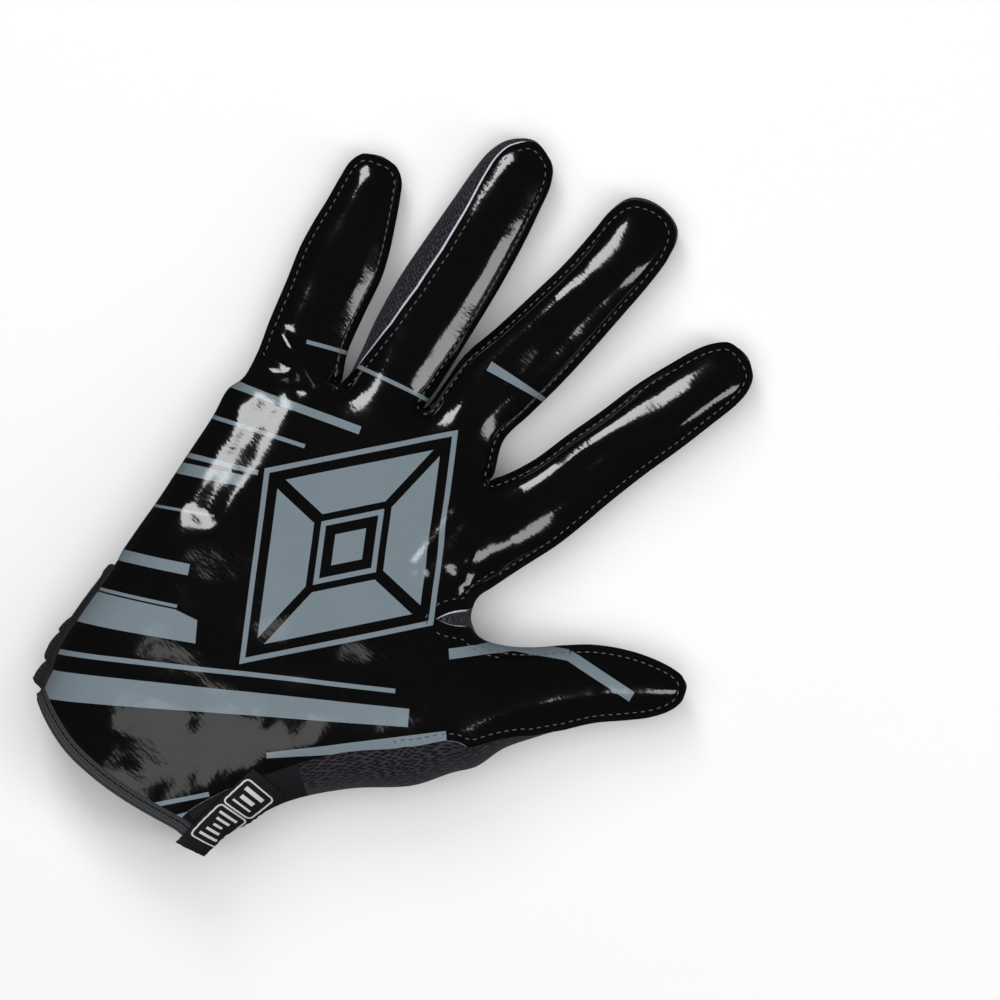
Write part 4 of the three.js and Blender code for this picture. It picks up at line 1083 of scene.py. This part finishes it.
def wrist_strap():
    """Moulded closure strap round the outer edge of the wrist, in stepped lobes with fine ribs."""
    ys = np.linspace(STRAP_LOBES[0][0], STRAP_LOBES[-1][0], 118)
    side = np.linspace(0.75, -1, 78)
    vs = np.concatenate([side, np.linspace(-1.15, -5, 28)])
    lobes = np.interp(ys, *np.array(STRAP_LOBES).T)
    rows = []
    for y in ys:
        yy = np.where(vs < -0.7, max(y, STRAP_LOWEST + 0.01 * y), y)
        end = 1 - 0.22 * np.clip((-4.3 - vs) / 0.7, 0, 1) ** 2
        yy = STRAP_MIDDLE + (yy - STRAP_MIDDLE) * end
        left, _ = silhouette_at(yy)
        n = np.where(vs >= -1, BACK_SEAM_INSET * vs * vs,
                     BACK_SEAM_INSET + (STRAP_REACH - left - BACK_SEAM_INSET) * (-vs - 1) / 4)
        xy = np.column_stack([left + n, yy])
        z = np.where(vs > 0, top_height(xy), back_height(xy))
        rows.append(np.column_stack([xy, z]))
    grid = np.stack(rows)
    out = grid_normals(grid)
    run = run_lengths(grid[len(ys) // 2 + 1])
    ribs = STRAP_RIB_DEPTH * np.cos(2 * math.pi * run / STRAP_RIB_PITCH) * np.clip((vs + 1) / 0.4, 0, 1)
    towards_palm = np.clip((vs - 0.1) / 0.65, 0, 1)
    under = np.clip(-vs / 0.9, 0, 1)
    thick = lobes[:, None] + (0.8 - lobes[:, None]) * towards_palm + (2.6 - lobes[:, None]) * under
    border = np.minimum(ys - ys[0], ys[-1] - ys)[:, None]
    bend = np.clip(border / STRAP_ROUNDING, 0, 1)
    round_off = STRAP_ROUNDING * (1 - np.sqrt(np.clip(1 - (1 - bend) ** 2, 0, 1))) * under
    outer = grid + out * (thick - round_off + ribs * (1 - 0.7 * towards_palm))[:, :, None]
    clear = STRAP_CLEARANCE + 1.15 * np.clip((STRAP_LOWEST - ys) / 0.8, 0, 1)[:, None]
    inner = grid + out * np.minimum(clear + 0 * thick, thick - 0.3)[:, :, None]
    outer[:, :, 2] = np.maximum(outer[:, :, 2], 0.0)
    flat = (outer[:, :, 0] - silhouette_at(outer[:, :, 1])[0]) > STRAP_FLAT_FROM
    outer[:, :, 2] = np.where(flat, round_off, outer[:, :, 2])
    ring = np.concatenate([outer, inner[:, ::-1]], axis=1)
    rows, cols = ring.shape[:2]
    uv = np.stack([np.repeat(ys[:, None], cols, axis=1),
                   np.repeat(np.concatenate([run, run[::-1]])[None, :], rows, axis=0)], axis=2)
    piece = make_piece("closure_strap", ring.reshape(-1, 3), tube_faces(rows, cols), [RUBBER],
                       uv=uv.reshape(-1, 2))
    dress(piece, "strap", "wrist_strap")


# Label


def label_point(u, v, lift):
    """u from the top to the bottom of the label, v from its thumb side to its palm side."""
    y = LABEL_CORNER[1] - LABEL_LENGTH * u - (0.6 + 1.8 * u) * v
    _, right = silhouette_at(np.maximum(y, 0))
    x = LABEL_CORNER[0] - 4.8 * u - (LABEL_WIDTH - 2.4 * u) * v
    x = np.minimum(x, right - 0.9) + 0.10 * np.sin(2.9 * y) * np.abs(2 * v - 1) ** 6
    xy = np.column_stack([x, y])
    p, n = surface(xy, top_height)
    rise = 0.85 + 0.75 * np.clip((u - 0.70) / 0.14, 0, 1) + 0.12 * np.sin(7 * u + 2 * v)
    return p + n * (rise + lift)[:, None]


def label_tag():
    rows, cols = 76, 30
    u, v = np.meshgrid(np.linspace(0, 1, rows), np.linspace(0, 1, cols), indexing="ij")
    u, v = u.ravel(), v.ravel()
    fray = np.array([noise.noise((k * 1.7, 0.4, 0.0)) for k in range(cols)])
    u = u + np.clip((u - 0.94) / 0.06, 0, 1) * 0.014 * np.tile(fray, rows)
    top = label_point(u, v, LABEL_THICKNESS).reshape(rows, cols, 3)
    low = label_point(u, v, 0.0).reshape(rows, cols, 3)
    ring = np.concatenate([top, low[:, ::-1]], axis=1)
    wide = 2 * cols
    uv = np.stack(np.meshgrid(np.linspace(0, LABEL_LENGTH, rows), np.linspace(0, 22, wide),
                              indexing="ij"), axis=2)
    piece = make_piece("woven_label", ring.reshape(-1, 3), tube_faces(rows, wide), [LABEL_CLOTH],
                       uv=uv.reshape(-1, 2))
    dress(piece, "label", "label_tag")
    label_marks()


def label_marks():
    """Two white rounded frames with plain bars in them, woven into the label."""
    r = LABEL_FRAME_RADIUS
    v0, v1 = LABEL_FRAME_EDGES
    strips = []
    for u0, u1 in LABEL_FRAMES:
        path = []
        corners = ((u1 - r, v1 - r), (u0 + r, v1 - r), (u0 + r, v0 + r), (u1 - r, v0 + r))
        for i, (cu, cv) in enumerate(corners):
            for k in range(6):
                a = math.radians(90 * i + 18 * k)
                path.append((cu + r * math.cos(a), cv + r * math.sin(a)))
        strips.append((path + path[:1], LABEL_FRAME_LINE))
    strips += [([(u, start), (u, end)], width) for u, start, end, width in LABEL_BARS]
    verts, faces, uvs = [], [], []
    for path, width in strips:
        path = subdivide(path, 0.4, closed=False)
        t = np.gradient(path, axis=0)
        t /= np.linalg.norm(t, axis=1)[:, None]
        n = np.column_stack([-t[:, 1], t[:, 0]]) * width / 2
        base = len(verts)
        for side in (-1, 1):
            q = path + side * n
            verts += label_point(*(q / LABEL_FIELD).T, LABEL_MARK_LIFT).tolist()
            uvs += q.tolist()
        count = len(path)
        faces += [(base + i, base + i + 1, base + count + i + 1, base + count + i)
                  for i in range(count - 1)]
    piece = make_piece("label_marks", np.array(verts), faces, [LABEL_WHITE], uv=uvs)
    dress(piece, "label")


# Scene


def image_direction(right, up, height):
    """A point in metres from the glove, given along the photograph's right and up."""
    roll = math.radians(PHOTO_ROLL)
    return Vector((right * math.cos(roll) - up * math.sin(roll),
                   right * math.sin(roll) + up * math.cos(roll), height))


def softbox(name, azimuth, polar, distance, radial, tangential, radiance, glossy=True, diffuse=True):
    """An area light aimed at the glove; azimuth runs anticlockwise from the photo's right."""
    data = bpy.data.lights.new(name, "AREA")
    data.shape = "RECTANGLE"
    data.size = tangential
    data.size_y = radial
    data.energy = radiance * math.pi * radial * tangential
    light = bpy.data.objects.new(name, data)
    a, b = math.radians(azimuth), math.radians(polar)
    reach = distance * math.sin(b)
    light.location = image_direction(reach * math.cos(a), reach * math.sin(a), distance * math.cos(b))
    z = light.location.normalized()
    x = Vector((0, 0, 1)).cross(z)
    x = x.normalized() if x.length > 1e-6 else Vector((1, 0, 0))
    light.rotation_euler = Matrix((x, z.cross(x), z)).transposed().to_euler()
    light.visible_glossy = glossy
    light.visible_diffuse = diffuse
    bpy.context.collection.objects.link(light)


def studio():
    scene = bpy.context.scene
    world = bpy.data.worlds.new("studio")
    world.use_nodes = True
    world.node_tree.nodes["Background"].inputs["Color"].default_value = (1, 1, 1, 1)
    world.node_tree.nodes["Background"].inputs["Strength"].default_value = 0.02
    scene.world = world
    scene.view_settings.view_transform = "Standard"
    softbox("right_box", -20, 52, 1.25, 0.85, 0.30, 4.0)
    softbox("top_box", 109, 44, 1.25, 0.50, 0.36, 7.5)
    softbox("cuff_panel", 244, 15, 1.15, 0.50, 0.36, 1.0, diffuse=False)
    softbox("overhead", 90, 0, 2.0, 2.6, 2.6, 2.35, glossy=False)
    material, _, shader = new_material("floor")
    shader.inputs["Base Color"].default_value = (0.86, 0.86, 0.86, 1)
    shader.inputs["Roughness"].default_value = 0.95
    shader.inputs["Specular IOR Level"].default_value = 0.0
    bpy.ops.mesh.primitive_plane_add(size=8, location=(0, 0, 0))
    floor = bpy.context.object
    floor.name = "floor"
    floor.data.materials.append(material)
    floor.visible_glossy = False


def camera():
    data = bpy.data.cameras.new("camera")
    data.sensor_width = 36
    data.lens = data.sensor_width * (CAMERA_HEIGHT - PHOTO_FOCUS_HEIGHT) / PHOTO_PIXEL
    cam = bpy.data.objects.new("camera", data)
    centre = place([(*PHOTO_CENTRE, 0)])[0]
    cam.location = (centre[0], centre[1], CAMERA_HEIGHT)
    cam.rotation_euler = (0, 0, math.radians(PHOTO_ROLL))
    bpy.context.collection.objects.link(cam)
    bpy.context.scene.camera = cam


camera()
studio()
palm_panel()
side_bands()
back_panels()
cuff_binding()
wrist_strap()
label_tag()
